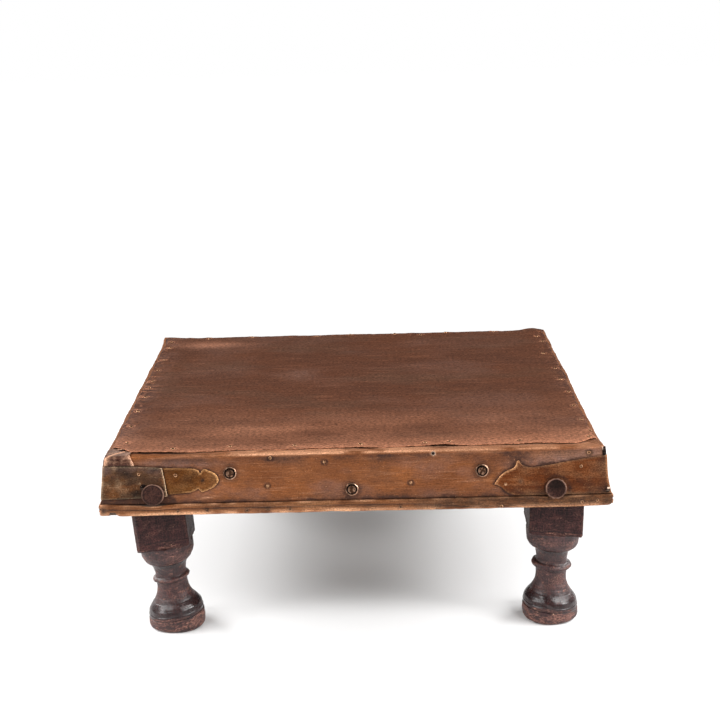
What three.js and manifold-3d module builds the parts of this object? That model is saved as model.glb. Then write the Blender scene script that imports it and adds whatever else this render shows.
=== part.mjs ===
/*
 * A low square table on four turned legs. A plank top and a flared wooden apron
 * are clad in copper sheet, a moulded lip runs round the foot of the apron,
 * brass straps bind the corners, and big iron studs pin the aprons to the legs.
 *
 * Millimetres, +Z up, front towards -Y. The origin is on the floor, under the
 * middle of the table. Each side is built as if it were the front, and its
 * group then turns about Z into place.
 */
import * as THREE from 'three';
import { mergeVertices } from 'three/addons/utils/BufferGeometryUtils.js';
import Module from 'manifold-3d';

const wasm = await Module();
wasm.setup();

// ---- Driving dimensions ----
const HEIGHT = 227.5; // floor to the face of the top sheet
const SHEET = 1; // every sheet-metal skin
const GAP = 0.3; // clearance between pieces that touch
const ARC_STEPS = 3; // facets in a small rounded bend are twice this

// Sides, measured outwards from the middle of the table
const TOP_HALF = 281; // upper edge of the copper skirt
const SKIRT_HALF = 287; // lower edge of the skirt, where it meets the lip
const LIP_HALF = 290.5; // outer face of the lip
const APRON_INNER = 266; // inner face of the wooden apron and of the wooden lip
const TOP_SHEET_WIDTH = 554;
const TOP_SHEET_DEPTH = 544;

// Heights above the floor
const LIP_TOP = 171;
const LIP_BOTTOM = 158;
const CLEAT_BOTTOM = 194.9;

// Bends and mouldings
const BEND_RADIUS = 3.5; // skirt, where it folds on to the top
const LIP_RADIUS = 2.2;
const LIP_GROOVE_DEPTH = 0.9; // the line that splits the lip into two beads
const LIP_GROOVE_RISE = 1.2; // half the width of that line
const LIP_LEDGE = 7.5; // how far the lip sheet reaches in above the lip
const LIP_UNDERLAP = 14.5; // and below it

// Plank top
const PLANK_COUNT = 3;
const PLANK_THICKNESS = 16;
const CLEAT_WIDTH = 40;
const CLEAT_OFFSET = 110;

// Legs
const BLOCK_SIZE = 62.2; // the square part that stands inside the corner
const WAIST_RADIUS = 17.9;
const LEG_SIDES = 20;
const LEG_STEPS = 3; // facets in each curve of the turned profile
const FOOT_SPARE = 6; // cut off the leaning legs to make level feet
const STUD_HOLE_DEPTH = 50;

// Iron studs
const STUD_RADIUS = 12.5;
const STUD_SHANK_RADIUS = 4.2;
const STUD_SHANK = 46;
const STUD_SIDES = 18;

// Slotted screws in cup washers
const WASHER_RADIUS = 8;
const SCREW_HEAD_RADIUS = 5;
const SCREW_SHANK_RADIUS = 2.3;
const SCREW_LENGTH = 13.5;
const SLOT_WIDTH = 1.3;
const SLOT_DEPTH = 1.2;
const SCREW_SIDES = 12;
const HOLE_SIDES = 12;

// Where each fastener sits on its side: across, and height above the floor
const STUDS = { left: [-228.9, 183.4], right: [227.2, 180] };
const LONG_SIDE_SCREWS = { left: [-140, 204.7], middle: [-2.7, 183.2], right: [144.7, 201.3] };
const SHORT_SIDE_SCREWS = { left: [-140, 203], right: [140, 203] };

// Turned by hand, so the heights of the ring, the bowl and the foot of the block
// differ from leg to leg
const SHORT_BLOCK = {
  blockFoot: 112.3, bowl: 91.5, bowlRadius: 25.6, ring: 67.6, ringRadius: 23.6, ringHalf: 2.6,
};
const LONG_BLOCK = {
  blockFoot: 105.8, bowl: 84.5, bowlRadius: 24.4, ring: 62.3, ringRadius: 21.8, ringHalf: 1.8,
};
const MIDDLING_BLOCK = {
  blockFoot: 109.5, bowl: 88, bowlRadius: 25.2, ring: 65.5, ringRadius: 23.1, ringHalf: 2.4,
};

// Where each leg stands on the floor, where its axis meets the planks, and its turning
const LEGS = {
  front_left: { foot: [-213.6, -231.5], head: [-232.2, -234], turning: LONG_BLOCK },
  front_right: { foot: [227.7, -231.5], head: [234.2, -234], turning: SHORT_BLOCK },
  rear_left: { foot: [-231, 231], head: [-234, 234], turning: MIDDLING_BLOCK },
  rear_right: { foot: [231, 231], head: [234, 234], turning: MIDDLING_BLOCK },
};

const SIDES = {
  front: { turn: 0, screws: LONG_SIDE_SCREWS, studs: STUDS },
  right: { turn: Math.PI / 2, screws: SHORT_SIDE_SCREWS, studs: {} },
  rear: { turn: Math.PI, screws: LONG_SIDE_SCREWS, studs: STUDS },
  left: { turn: -Math.PI / 2, screws: SHORT_SIDE_SCREWS, studs: {} },
};

// ---- Finishes ----
const FINISHES = {
  topCopper: { color: 0x6b3d28, roughness: 0.5, metalness: 1 },
  sideCopper: { color: 0x96603a, roughness: 0.42, metalness: 1 },
  bronze: { color: 0x6f5430, roughness: 0.5, metalness: 1 },
  brass: { color: 0x96703a, roughness: 0.45, metalness: 1 },
  iron: { color: 0x3b2c25, roughness: 0.75, metalness: 1 },
  steel: { color: 0x6a5444, roughness: 0.5, metalness: 1 },
  darkWood: { color: 0x2c1712, roughness: 0.35, metalness: 0 },
  plainWood: { color: 0x5a3f2a, roughness: 0.8, metalness: 0 },
};

// ---- Levels and slopes that follow from the sizes above ----
const FLANGE_TOP = HEIGHT - SHEET - GAP;
const SKIRT_BOTTOM = LIP_TOP + GAP;
const PLANK_BOTTOM = FLANGE_TOP - PLANK_THICKNESS;
const PLANK_REACH = APRON_INNER - GAP;
const FLARE = Math.atan((SKIRT_HALF - TOP_HALF) / (FLANGE_TOP - SKIRT_BOTTOM));
const BEND_Z = FLANGE_TOP - BEND_RADIUS;
const BEND_OUT = faceAt(BEND_Z) - BEND_RADIUS / Math.cos(FLARE);
const OVERLAP = 0.01; // keeps two halves of one bent piece joined

// Distance from the middle of the table to the skirt's outer face at a height.
function faceAt(z) {
  return TOP_HALF + (FLANGE_TOP - z) * Math.tan(FLARE);
}

// ---- Solids ----

function toSolid(geometry) {
  const bare = geometry.clone();
  bare.deleteAttribute('normal');
  bare.deleteAttribute('uv');
  const merged = mergeVertices(bare, 1e-4);
  const corners = merged.getIndex().array;
  const kept = [];
  for (let i = 0; i < corners.length; i += 3) {
    const [a, b, c] = corners.slice(i, i + 3);
    if (a !== b && b !== c && c !== a) {
      kept.push(a, b, c);
    }
  }
  const vertProperties = Float32Array.from(merged.getAttribute('position').array);
  const triVerts = Uint32Array.from(kept);
  return new wasm.Manifold(new wasm.Mesh({ numProp: 3, vertProperties, triVerts }));
}

function toGeometry(solid) {
  const mesh = solid.getMesh();
  const shared = new THREE.BufferGeometry();
  shared.setAttribute('position', new THREE.BufferAttribute(mesh.vertProperties, 3));
  shared.setIndex(new THREE.BufferAttribute(mesh.triVerts, 1));
  const geometry = shared.toNonIndexed();
  geometry.computeVertexNormals();
  return geometry;
}

// A box that fills the space between two opposite corners.
function boxBetween(low, high) {
  const size = high.map((value, i) => value - low[i]);
  const middle = high.map((value, i) => (value + low[i]) / 2);
  return new THREE.BoxGeometry(...size).translate(...middle);
}

// A profile of (radius, height) points turned about the Z axis.
function turned(points, sides) {
  return new THREE.LatheGeometry(points, sides).rotateX(Math.PI / 2);
}

function profile(pairs) {
  return pairs.map(([radius, height]) => new THREE.Vector2(radius, height));
}

// ---- Sheet and boards along one side ----

// A bar of constant section, its ends cut at 45 degrees to meet the next side.
// The section is drawn as (distance outwards, height).
function mitredRail(section, mitreGap = GAP / Math.SQRT2) {
  const rail = new THREE.ExtrudeGeometry(section, { depth: 1, bevelEnabled: false });
  const position = rail.getAttribute('position');
  for (let i = 0; i < position.count; i += 1) {
    const outwards = position.getX(i);
    const height = position.getY(i);
    const end = position.getZ(i) > 0.5 ? -1 : 1;
    position.setXYZ(i, end * (outwards - mitreGap), -outwards, height);
  }
  return rail;
}

// Section of a skin whose outer and inner curves come from one function of depth.
function skinSection(curveAt, depth = 0) {
  return new THREE.Shape([...curveAt(depth), ...curveAt(depth + SHEET).reverse()]);
}

// The skirt's curve at a depth below its outer surface: flange, bend and slope.
function skirtCurve(depth, flangeInner, bottom) {
  const curve = new THREE.Path();
  curve.moveTo(flangeInner, FLANGE_TOP - depth);
  curve.absarc(BEND_OUT, BEND_Z, BEND_RADIUS - depth, Math.PI / 2, FLARE, true);
  curve.lineTo(faceAt(bottom) - depth / Math.cos(FLARE), bottom);
  return curve.getPoints(ARC_STEPS);
}

// The lip's curve at a depth below its outer surface: ledge, two beads, fold under.
function lipCurve(depth, ledgeInner, underInner) {
  const out = LIP_HALF - depth;
  const middle = (LIP_TOP + LIP_BOTTOM) / 2;
  const centre = LIP_HALF - LIP_RADIUS;
  const curve = new THREE.Path();
  curve.moveTo(ledgeInner, LIP_TOP - depth);
  curve.absarc(centre, LIP_TOP - LIP_RADIUS, LIP_RADIUS - depth, Math.PI / 2, 0, true);
  curve.lineTo(out, middle + LIP_GROOVE_RISE);
  curve.lineTo(out - LIP_GROOVE_DEPTH, middle);
  curve.lineTo(out, middle - LIP_GROOVE_RISE);
  curve.absarc(centre, LIP_BOTTOM + LIP_RADIUS, LIP_RADIUS - depth, 0, -Math.PI / 2, true);
  curve.lineTo(underInner, LIP_BOTTOM + depth);
  return curve.getPoints(ARC_STEPS);
}

function skirtRail() {
  return mitredRail(skinSection((depth) => skirtCurve(depth, APRON_INNER + GAP, SKIRT_BOTTOM)));
}

function apronRail() {
  const face = skirtCurve(SHEET + GAP, APRON_INNER, SKIRT_BOTTOM);
  return mitredRail(new THREE.Shape([...face, new THREE.Vector2(APRON_INNER, SKIRT_BOTTOM)]));
}

function lipSheetRail() {
  const ledgeInner = LIP_HALF - LIP_LEDGE;
  const underInner = LIP_HALF - LIP_UNDERLAP;
  return mitredRail(skinSection((depth) => lipCurve(depth, ledgeInner, underInner)));
}

// The wooden lip: rebated on its top edge, where the sheet turns in over it.
function lipCoreRail() {
  const rebate = LIP_HALF - LIP_LEDGE - GAP;
  const face = lipCurve(SHEET + GAP, rebate, APRON_INNER);
  const rest = profile([
    [APRON_INNER, LIP_TOP],
    [rebate, LIP_TOP],
  ]);
  return mitredRail(new THREE.Shape([...face, ...rest]));
}

// ---- Corner metal ----

// The part of a skin, laid over the skirt, that lies behind an outline drawn on
// the side as (across, height).
function skinWithin(section, outline) {
  const reach = [-LIP_HALF - 40, -TOP_HALF + 60];
  const punch = new THREE.ExtrudeGeometry(outline, {
    depth: reach[1] - reach[0],
    bevelEnabled: false,
    curveSegments: 2 * ARC_STEPS,
  });
  punch.rotateX(Math.PI / 2).translate(0, reach[1], 0);
  return toSolid(mitredRail(section, -OVERLAP)).intersect(toSolid(punch));
}

// A flat skin over the sloping face, between two heights.
function faceLayer(low, high) {
  const outer = (GAP + SHEET) / Math.cos(FLARE);
  const inner = GAP / Math.cos(FLARE);
  return new THREE.Shape(profile([
    [faceAt(low) + inner, low],
    [faceAt(low) + outer, low],
    [faceAt(high) + outer, high],
    [faceAt(high) + inner, high],
  ]));
}

// Half of a strap, on the right-hand end of a side: it ends in a pointed ogee.
function strapOutline() {
  const low = SKIRT_BOTTOM + GAP;
  const outline = new THREE.Shape();
  outline.moveTo(LIP_HALF + 10, low);
  outline.lineTo(LIP_HALF + 10, 216.5);
  outline.lineTo(284, 216);
  outline.lineTo(200, 203.8);
  outline.quadraticCurveTo(191.5, 204.5, 187.5, 211.7);
  outline.quadraticCurveTo(186, 204.5, 179.5, 202.5);
  outline.quadraticCurveTo(166, 199, 157.5, 185.1);
  outline.quadraticCurveTo(164, 184, 167, 179.5);
  outline.quadraticCurveTo(172.5, low, 186, low);
  return outline;
}

// The plain plate that wraps the front left corner.
function plateOutline() {
  return new THREE.Shape(profile([
    [-LIP_HALF - 10, 176.6],
    [-212, 180.3],
    [-216, 212.9],
    [-LIP_HALF - 10, 216],
  ]));
}

// The tongue that carries on from the plate: two barbs and a rounded tip.
function tongueOutline() {
  const outline = new THREE.Shape();
  outline.moveTo(-211.6, 181.3);
  outline.lineTo(-215.4, 212.8);
  outline.lineTo(-187, 210.6);
  outline.quadraticCurveTo(-178, 210, -173.6, 206.8);
  outline.lineTo(-170.1, 209.8);
  outline.quadraticCurveTo(-155, 206.5, -153.1, 196.1);
  outline.quadraticCurveTo(-158, 187, -169.9, 185.1);
  outline.lineTo(-174.9, 186.9);
  outline.quadraticCurveTo(-180, 183, -191.5, 183.2);
  return outline;
}

// The copper cap folded over the front left corner, above the plate.
function capOutline() {
  return new THREE.Shape(profile([
    [-LIP_HALF - 10, 216.4],
    [-247.3, 216.2],
    [-251.5, 240],
    [-LIP_HALF - 10, 240],
  ]));
}

function mirrored(outline) {
  const points = outline.getPoints(2 * ARC_STEPS);
  return new THREE.Shape(points.map((point) => new THREE.Vector2(-point.x, point.y)));
}

// Joins a corner piece's right-hand half, on this side, to its left-hand half on
// the next side round.
function aroundCorner(rightHalf, leftHalf) {
  const next = toGeometry(leftHalf).rotateZ(Math.PI / 2);
  return rightHalf.add(toSolid(next));
}

// ---- Fasteners ----

// Frame of a fastener on a side: Z along the face's outward normal.
function onFace([across, height]) {
  const frame = new THREE.Matrix4().makeRotationX(Math.PI / 2 - FLARE);
  return frame.setPosition(across, -faceAt(height), height);
}

// Driven through a side, a shank needs a hole with clearance all round.
function shankHole(place, radius, depth) {
  const across = (radius + GAP) / Math.cos(Math.PI / HOLE_SIDES);
  const hole = new THREE.CylinderGeometry(across, across, depth + 30, HOLE_SIDES);
  hole.rotateX(Math.PI / 2).translate(0, 0, 15 - depth / 2);
  return toSolid(hole.applyMatrix4(onFace(place)));
}

// The room that a stud's head takes out of the lip below it.
function headHole(place) {
  const head = new THREE.CylinderGeometry(STUD_RADIUS + GAP, STUD_RADIUS + GAP, 20, STUD_SIDES);
  head.rotateX(Math.PI / 2).translate(0, 0, 10 + GAP + SHEET);
  return toSolid(head.applyMatrix4(onFace(place)));
}

// A forged stud: a pointed shank and a wide head, dished in the middle.
function studGeometry() {
  const seat = 2 * GAP + SHEET;
  return turned(profile([
    [0, -STUD_SHANK],
    [STUD_SHANK_RADIUS, 8 - STUD_SHANK],
    [STUD_SHANK_RADIUS, seat],
    [STUD_RADIUS - 0.3, seat],
    [STUD_RADIUS, seat + 1],
    [STUD_RADIUS - 1.2, seat + 2.4],
    [STUD_RADIUS - 3, seat + 2.6],
    [STUD_RADIUS / 2, seat + 2.2],
    [0, seat + 2],
  ]), STUD_SIDES);
}

// A cup washer with a conical seat for the screw's head.
function washerGeometry() {
  const bore = SCREW_SHANK_RADIUS + 0.55;
  const crest = SCREW_HEAD_RADIUS + 0.45;
  return turned(profile([
    [bore, GAP],
    [WASHER_RADIUS, GAP],
    [WASHER_RADIUS - 0.3, 1.4],
    [WASHER_RADIUS - 1.1, 2.4],
    [WASHER_RADIUS - 2, 2.9],
    [crest, 2.9],
    [bore, GAP],
  ]), SCREW_SIDES);
}

// A countersunk wood screw, with a straight slot across its head.
function screwSolid(slotAngle) {
  const body = turned(profile([
    [0, -SCREW_LENGTH],
    [SCREW_SHANK_RADIUS, 5 - SCREW_LENGTH],
    [SCREW_SHANK_RADIUS, 0.2],
    [SCREW_HEAD_RADIUS, 2.9],
    [SCREW_HEAD_RADIUS - 0.5, 3.1],
    [SCREW_HEAD_RADIUS / 2, 3.4],
    [0, 3.5],
  ]), SCREW_SIDES);
  const slot = boxBetween(
    [-SCREW_HEAD_RADIUS - 1, -SLOT_WIDTH / 2, 3.5 - SLOT_DEPTH],
    [SCREW_HEAD_RADIUS + 1, SLOT_WIDTH / 2, 5],
  );
  return toSolid(body).subtract(toSolid(slot.rotateZ(slotAngle)));
}

// ---- Legs ----

// From the floor up: foot, base band, bell, waist, ring, flared neck and bowl.
function legProfile({ blockFoot, bowl, bowlRadius, ring, ringRadius, ringHalf }) {
  const line = new THREE.Path();
  line.moveTo(0, -FOOT_SPARE);
  line.lineTo(28.5, -FOOT_SPARE);
  line.lineTo(29.6, 0);
  line.quadraticCurveTo(32.4, 2, 32.5, 6);
  line.lineTo(32.4, 15.4);
  line.lineTo(31.5, 16.2);
  line.lineTo(32, 17.4);
  line.bezierCurveTo(32, 27, 28.6, 30, 25, 34.2);
  line.bezierCurveTo(21, 39.6, WAIST_RADIUS, 45, WAIST_RADIUS, 53);
  line.lineTo(WAIST_RADIUS, ring - ringHalf - 2);
  line.lineTo(ringRadius - 0.8, ring - ringHalf);
  line.quadraticCurveTo(ringRadius + 0.8, ring, ringRadius - 0.8, ring + ringHalf);
  line.lineTo(WAIST_RADIUS, ring + ringHalf + 2);
  line.quadraticCurveTo(WAIST_RADIUS, bowl - 9, 22.4, bowl - 1.7);
  line.lineTo(bowlRadius - 0.6, bowl - 1.3);
  line.bezierCurveTo(bowlRadius + 1.6, bowl + 1.6, 30.6, bowl + 6, 31, bowl + 12);
  line.lineTo(31, blockFoot + 2);
  line.lineTo(30.6, blockFoot + 5);
  line.lineTo(0, blockFoot + 5);
  return line.getPoints(LEG_STEPS);
}

function legSolid({ foot, head, turning }) {
  const blockTop = PLANK_BOTTOM - GAP;
  const half = BLOCK_SIZE / 2;
  const shift = new THREE.Vector3(head[0] - foot[0], head[1] - foot[1], blockTop);
  const up = new THREE.Vector3(0, 0, 1);
  const lean = new THREE.Quaternion().setFromUnitVectors(up, shift.normalize());
  const turnedPart = turned(legProfile(turning), LEG_SIDES);
  const block = boxBetween([-half, -half, turning.blockFoot], [half, half, blockTop + 10]);
  const whole = [turnedPart, block].map((piece) => {
    const leaning = piece.applyQuaternion(lean).translate(foot[0], foot[1], 0);
    return toSolid(leaning);
  });
  const far = 400;
  const belowFloor = boxBetween([-far, -far, -20], [far, far, 0]);
  const abovePlanks = boxBetween([-far, -far, blockTop], [far, far, HEIGHT + 20]);
  return whole[0].add(whole[1]).subtract(toSolid(belowFloor)).subtract(toSolid(abovePlanks));
}

// ---- Assembly ----

const table = new THREE.Group();

function addPart(group, name, geometry, finish) {
  const material = new THREE.MeshStandardMaterial(FINISHES[finish]);
  const mesh = new THREE.Mesh(geometry, material);
  mesh.name = name;
  group.add(mesh);
  return mesh;
}

function cutAll(solid, holes) {
  return holes.reduce((left, hole) => left.subtract(hole), solid);
}

// The plank top, the two cleats under it and the copper sheet over it.
function addTop() {
  const plankDepth = (2 * PLANK_REACH) / PLANK_COUNT;
  ['front', 'middle', 'rear'].forEach((name, i) => {
    const near = -PLANK_REACH + i * plankDepth;
    const low = [-PLANK_REACH, near + GAP / 2, PLANK_BOTTOM];
    const high = [PLANK_REACH, near + plankDepth - GAP / 2, FLANGE_TOP];
    addPart(table, `plank_${name}`, boxBetween(low, high), 'plainWood');
  });
  for (const [name, x] of [['left', -CLEAT_OFFSET], ['right', CLEAT_OFFSET]]) {
    const low = [x - CLEAT_WIDTH / 2, -PLANK_REACH, CLEAT_BOTTOM];
    const high = [x + CLEAT_WIDTH / 2, PLANK_REACH, PLANK_BOTTOM - GAP];
    addPart(table, `cleat_${name}`, boxBetween(low, high), 'plainWood');
  }
  const sheet = new THREE.BoxGeometry(TOP_SHEET_WIDTH, TOP_SHEET_DEPTH, SHEET);
  const topSheet = addPart(table, 'top_sheet', sheet, 'topCopper');
  topSheet.position.z = HEIGHT - SHEET / 2;
}

// One side's apron, skirt and lip, with the studs and screws that hold it.
function addSide(name, { turn, screws, studs }) {
  const side = new THREE.Group();
  side.rotation.z = turn;
  table.add(side);

  const screwHoles = Object.values(screws).map((place) => {
    return shankHole(place, SCREW_SHANK_RADIUS, SCREW_LENGTH);
  });
  const studHoles = Object.values(studs).map((place) => {
    return shankHole(place, STUD_SHANK_RADIUS, STUD_HOLE_DEPTH);
  });
  const headHoles = Object.values(studs).map(headHole);
  const rails = [
    ['apron', apronRail(), [...screwHoles, ...studHoles], 'plainWood'],
    ['skirt', skirtRail(), [...screwHoles, ...studHoles], 'sideCopper'],
    ['lip_core', lipCoreRail(), headHoles, 'plainWood'],
    ['lip_sheet', lipSheetRail(), headHoles, 'sideCopper'],
  ];
  for (const [rail, geometry, holes, finish] of rails) {
    addPart(side, `${rail}_${name}`, toGeometry(cutAll(toSolid(geometry), holes)), finish);
  }

  for (const [end, place] of Object.entries(studs)) {
    const stud = addPart(side, `stud_${name}_${end}`, studGeometry(), 'iron');
    stud.applyMatrix4(onFace(place));
  }
  Object.entries(screws).forEach(([end, place], i) => {
    const washer = addPart(side, `washer_${name}_${end}`, washerGeometry(), 'steel');
    washer.applyMatrix4(onFace(place));
    const slotAngle = (Math.PI / 2) * (i % 2) + 0.3 * i;
    const screwShape = toGeometry(screwSolid(slotAngle));
    const screw = addPart(side, `screw_${name}_${end}`, screwShape, 'steel');
    screw.applyMatrix4(onFace(place));
  });
  return side;
}

// The brass strap on the corner at the right-hand end of a side.
function addStrap(side, name, studsHere, studsNext) {
  const layer = faceLayer(SKIRT_BOTTOM + GAP, 217);
  const rightHole = shankHole(STUDS.right, STUD_SHANK_RADIUS, STUD_HOLE_DEPTH);
  const leftHole = shankHole(STUDS.left, STUD_SHANK_RADIUS, STUD_HOLE_DEPTH);
  const rightHalf = cutAll(skinWithin(layer, strapOutline()), studsHere ? [rightHole] : []);
  const leftHalf = skinWithin(layer, mirrored(strapOutline()));
  const strap = aroundCorner(rightHalf, cutAll(leftHalf, studsNext ? [leftHole] : []));
  addPart(side, `strap_${name}`, toGeometry(strap), 'brass');
}

// The plate, its tongue and the cap on the front left corner.
function addCornerPlate(front) {
  const hole = shankHole(STUDS.left, STUD_SHANK_RADIUS, STUD_HOLE_DEPTH);
  const quarterTurn = -Math.PI / 2;
  const flat = faceLayer(176, 216.2);
  const folded = skinSection((depth) => skirtCurve(depth, 274, 216), -SHEET - GAP);
  const corners = [
    ['corner_plate', flat, plateOutline(), [hole], 'bronze'],
    ['corner_cap', folded, capOutline(), [], 'topCopper'],
  ];
  for (const [name, section, outline, holes, finish] of corners) {
    const frontHalf = cutAll(skinWithin(section, outline), holes);
    const sideHalf = skinWithin(section, mirrored(outline));
    const piece = aroundCorner(sideHalf, frontHalf);
    addPart(front, name, toGeometry(piece).rotateZ(quarterTurn), finish);
  }
  const tongue = skinWithin(faceLayer(180, 214), tongueOutline());
  addPart(front, 'plate_tongue', toGeometry(cutAll(tongue, [hole])), 'brass');
}

// Each leg has a hole for the stud that pins its side's apron to it.
function addLegs() {
  for (const [name, place] of Object.entries(LEGS)) {
    const rear = name.startsWith('rear');
    const turn = rear ? Math.PI : 0;
    const studEnd = name.endsWith('left') === rear ? 'right' : 'left';
    const hole = shankHole(STUDS[studEnd], STUD_SHANK_RADIUS, STUD_HOLE_DEPTH);
    const holeHere = toSolid(toGeometry(hole).rotateZ(turn));
    const leg = legSolid(place).subtract(holeHere);
    addPart(table, `leg_${name}`, toGeometry(leg), 'darkWood');
  }
}

addTop();
const sides = Object.fromEntries(
  Object.entries(SIDES).map(([name, side]) => [name, addSide(name, side)]),
);
addStrap(sides.front, 'front_right', true, false);
addStrap(sides.right, 'rear_right', false, true);
addStrap(sides.rear, 'rear_left', true, false);
addCornerPlate(sides.front);
addLegs();

export default table;
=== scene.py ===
"""Low table clad in aged copper sheet, with brass straps, iron studs and turned legs.

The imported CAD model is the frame. Its boards stay, with a dry wood material, and
every piece that shows is made again here as a detailed mesh in the same place.
Shapes are worked out in millimetres and stored in metres.
"""
import math
import random

import bmesh
import bpy
from mathutils import Matrix, Vector, geometry, kdtree, noise


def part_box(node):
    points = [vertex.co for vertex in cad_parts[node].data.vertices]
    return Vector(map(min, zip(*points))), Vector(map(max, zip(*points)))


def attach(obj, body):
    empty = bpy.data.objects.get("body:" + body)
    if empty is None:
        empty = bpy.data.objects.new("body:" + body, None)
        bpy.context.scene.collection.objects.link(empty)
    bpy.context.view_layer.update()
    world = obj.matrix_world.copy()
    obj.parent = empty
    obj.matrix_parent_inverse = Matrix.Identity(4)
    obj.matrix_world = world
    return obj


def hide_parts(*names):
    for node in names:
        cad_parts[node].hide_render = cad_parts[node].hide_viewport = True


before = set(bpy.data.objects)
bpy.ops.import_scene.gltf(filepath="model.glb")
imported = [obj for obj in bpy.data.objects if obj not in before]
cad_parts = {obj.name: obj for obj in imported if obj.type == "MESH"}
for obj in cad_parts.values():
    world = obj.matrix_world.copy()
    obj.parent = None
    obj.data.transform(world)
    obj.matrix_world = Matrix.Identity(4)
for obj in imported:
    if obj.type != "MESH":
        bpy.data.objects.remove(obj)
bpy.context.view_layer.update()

# ---- Sizes taken from the frame, in millimetres ----

MM = 0.001


def node_box(node):
    """Lowest and highest corner of a CAD node, in millimetres."""
    low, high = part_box(node)
    return low / MM, high / MM


skirt_low, skirt_high = node_box("skirt_front")
lip_low, lip_high = node_box("lip_sheet_front")
HEIGHT = node_box("top_sheet")[1].z
FLANGE_TOP = skirt_high.z
SKIRT_FOOT = skirt_low.z
SKIRT_FOOT_OUT = -skirt_low.y
LIP_OUT = -lip_low.y
LIP_TOP = lip_high.z
LIP_BOTTOM = lip_low.z

# ---- Sizes of the visible surface, in millimetres ----

FLARE_RUN = 6.0             # how far a side leans out between its top and its foot
FLARE = math.atan(FLARE_RUN / (FLANGE_TOP - SKIRT_FOOT))
FLANGE_INNER = 262.0        # how far in the skirt reaches under the top sheet
BEND_RADIUS = 3.4
SHEET = 0.7                 # visible thickness of the copper
SCRAP_THICKNESS = 0.5       # and of its torn scraps
STRAP_LIFT = 1.5            # outer face of a strap above the skirt
STRAP_THICKNESS = 1.1
CORNER_RADIUS = 2.6
STUD_RADIUS = {"left": 13.1, "right": 12.2}
WASHER_RADIUS = 7.9
SCREW_RADIUS = 5.0
TACK_RADIUS = 2.1
SLOT_SIZE = (14.0, 1.6, 3.0)    # of the cutter, longer than the head is wide
SLOT_FLOOR = 1.75               # height of the slot's floor on the head
SLOT_ANGLES = [math.pi * 0.5, math.pi * 0.5, math.pi * 0.35]    # for a side's screws, from its left

# How far each side is turned from the front, and which side lies before it
SIDES = {"front": 0.0, "right": math.pi / 2, "rear": math.pi, "left": -math.pi / 2}
PREVIOUS_SIDE = {"front": "left", "right": "front", "rear": "right", "left": "rear"}
# The strap that wraps the right-hand corner of a side. The front left corner has a patch instead.
STRAP_CORNERS = {"front": "front_right", "right": "rear_right", "rear": "rear_left"}

# Places on a side, as (across, height)
STUDS = {"left": (-227.8, 182.4), "right": (227.6, 179.9)}
LONG_SCREWS = {"left": (-140.0, 204.7), "middle": (-2.7, 183.2), "right": (144.7, 201.3)}
SHORT_SCREWS = {"left": (-140.0, 203.0), "right": (140.0, 203.0)}
SCREWS = {"front": LONG_SCREWS, "rear": LONG_SCREWS, "right": SHORT_SCREWS, "left": SHORT_SCREWS}
FACE_TACKS = {
    "front": [(-98, 189), (-33, 215), (-94, 221), (64, 189), (264, 219)],
    "rear": [(-104, 190), (-30, 213), (70, 191), (185, 216)],
    "right": [(-90, 212), (-20, 188), (66, 211), (188, 190)],
    "left": [(-186, 212), (-62, 188), (22, 213), (95, 190)],
}
LIP_TACKS = {
    "front": [(-200, 163.2), (-167, 163.4), (-122, 162.4), (-98, 163.5), (-73, 162.8), (52, 162.6),
              (94, 162.6), (166, 160.4), (257, 163.4), (273, 165)],
    "rear": [(-230, 163), (-150, 163), (-82, 162), (-10, 163), (62, 163), (140, 162), (215, 163)],
    "right": [(-235, 163), (-160, 162), (-84, 163), (-6, 163), (70, 162), (150, 163), (228, 163)],
    "left": [(-220, 163), (-141, 163), (-70, 162), (8, 163), (88, 163), (160, 162), (236, 163)],
}
PLATE_HOLE = (-238.4, 190.9)
FACE_HOLES = {"front": [(90, 222)], "rear": [(-60, 220)], "right": [(150, 221)], "left": []}
TOP_TACKS = [
    (-206, -259), (-141, -254), (-67, -256), (8, -257), (82, -257), (110, -254), (190, -256),
    (271, -247), (275, -224), (271, -180), (270, -121), (272, -60), (269, 0), (269, 56),
    (263, 137), (270, 206), (265, 237), (205, 272), (134, 273), (97, 262), (59, 273), (-7, 273),
    (-56, 268), (-152, 272), (-215, 268), (-268, 250), (-267, 216), (-267, 147), (-268, 92),
    (-268, 36), (-268, 2), (-267, -41), (-268, -104), (-267, -168), (-262, -232),
]
# Where the raw front edge of the top sheet has lifted: (across, half width, height)
EDGE_LIFTS = [(-266, 10, 2.4), (-238, 18, 1.2), (-205, 22, 0.9), (-112, 22, 0.4), (-3, 24, 0.4),
              (104, 19, 2.0), (208, 17, 1.9), (272, 16, 1.6)]
# Creases that run in from the left edge of the top sheet, by depth
EDGE_CREASES = [214, 206, 148, 140, 60, 36, 28, 8, -3, -14, -34, -43, -52, -98, -160]

# Places where the cladding has been knocked out of line: (centre, reach, shift)
KNOCKS = [
    ((284, -284, 221), 24, (2.6, -0.5, 0.5)),    # front right corner of the top
    ((290, -290, 165), 20, (2.9, 0.0, 0.6)),     # right end of the front lip
    ((-276, 276, 227), 24, (-2.6, 0.8, 1.6)),    # rear left corner
    ((262, 279, 227), 15, (0.5, 1.5, 3.2)),      # rear right corner
    ((282, 30, 227), 30, (1.6, 0.0, 0.0)),       # right edge
]

# ---- Noise ----


def cloud(x, y, scale, seed, octaves=1):
    """Smooth noise from about -1 to 1, with features about as wide as scale."""
    point = Vector((x / scale, y / scale, seed * 7.31))
    total = 0.0
    for octave in range(octaves):
        total += noise.noise(point * 2 ** octave) / 2 ** octave
    return total


def bump(distance, width):
    """1 at no distance, falling smoothly to 0 over a few widths."""
    return math.exp(-(distance / width) ** 2)


def clamp(value, low=0.0, high=1.0):
    return max(low, min(high, value))


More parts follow.
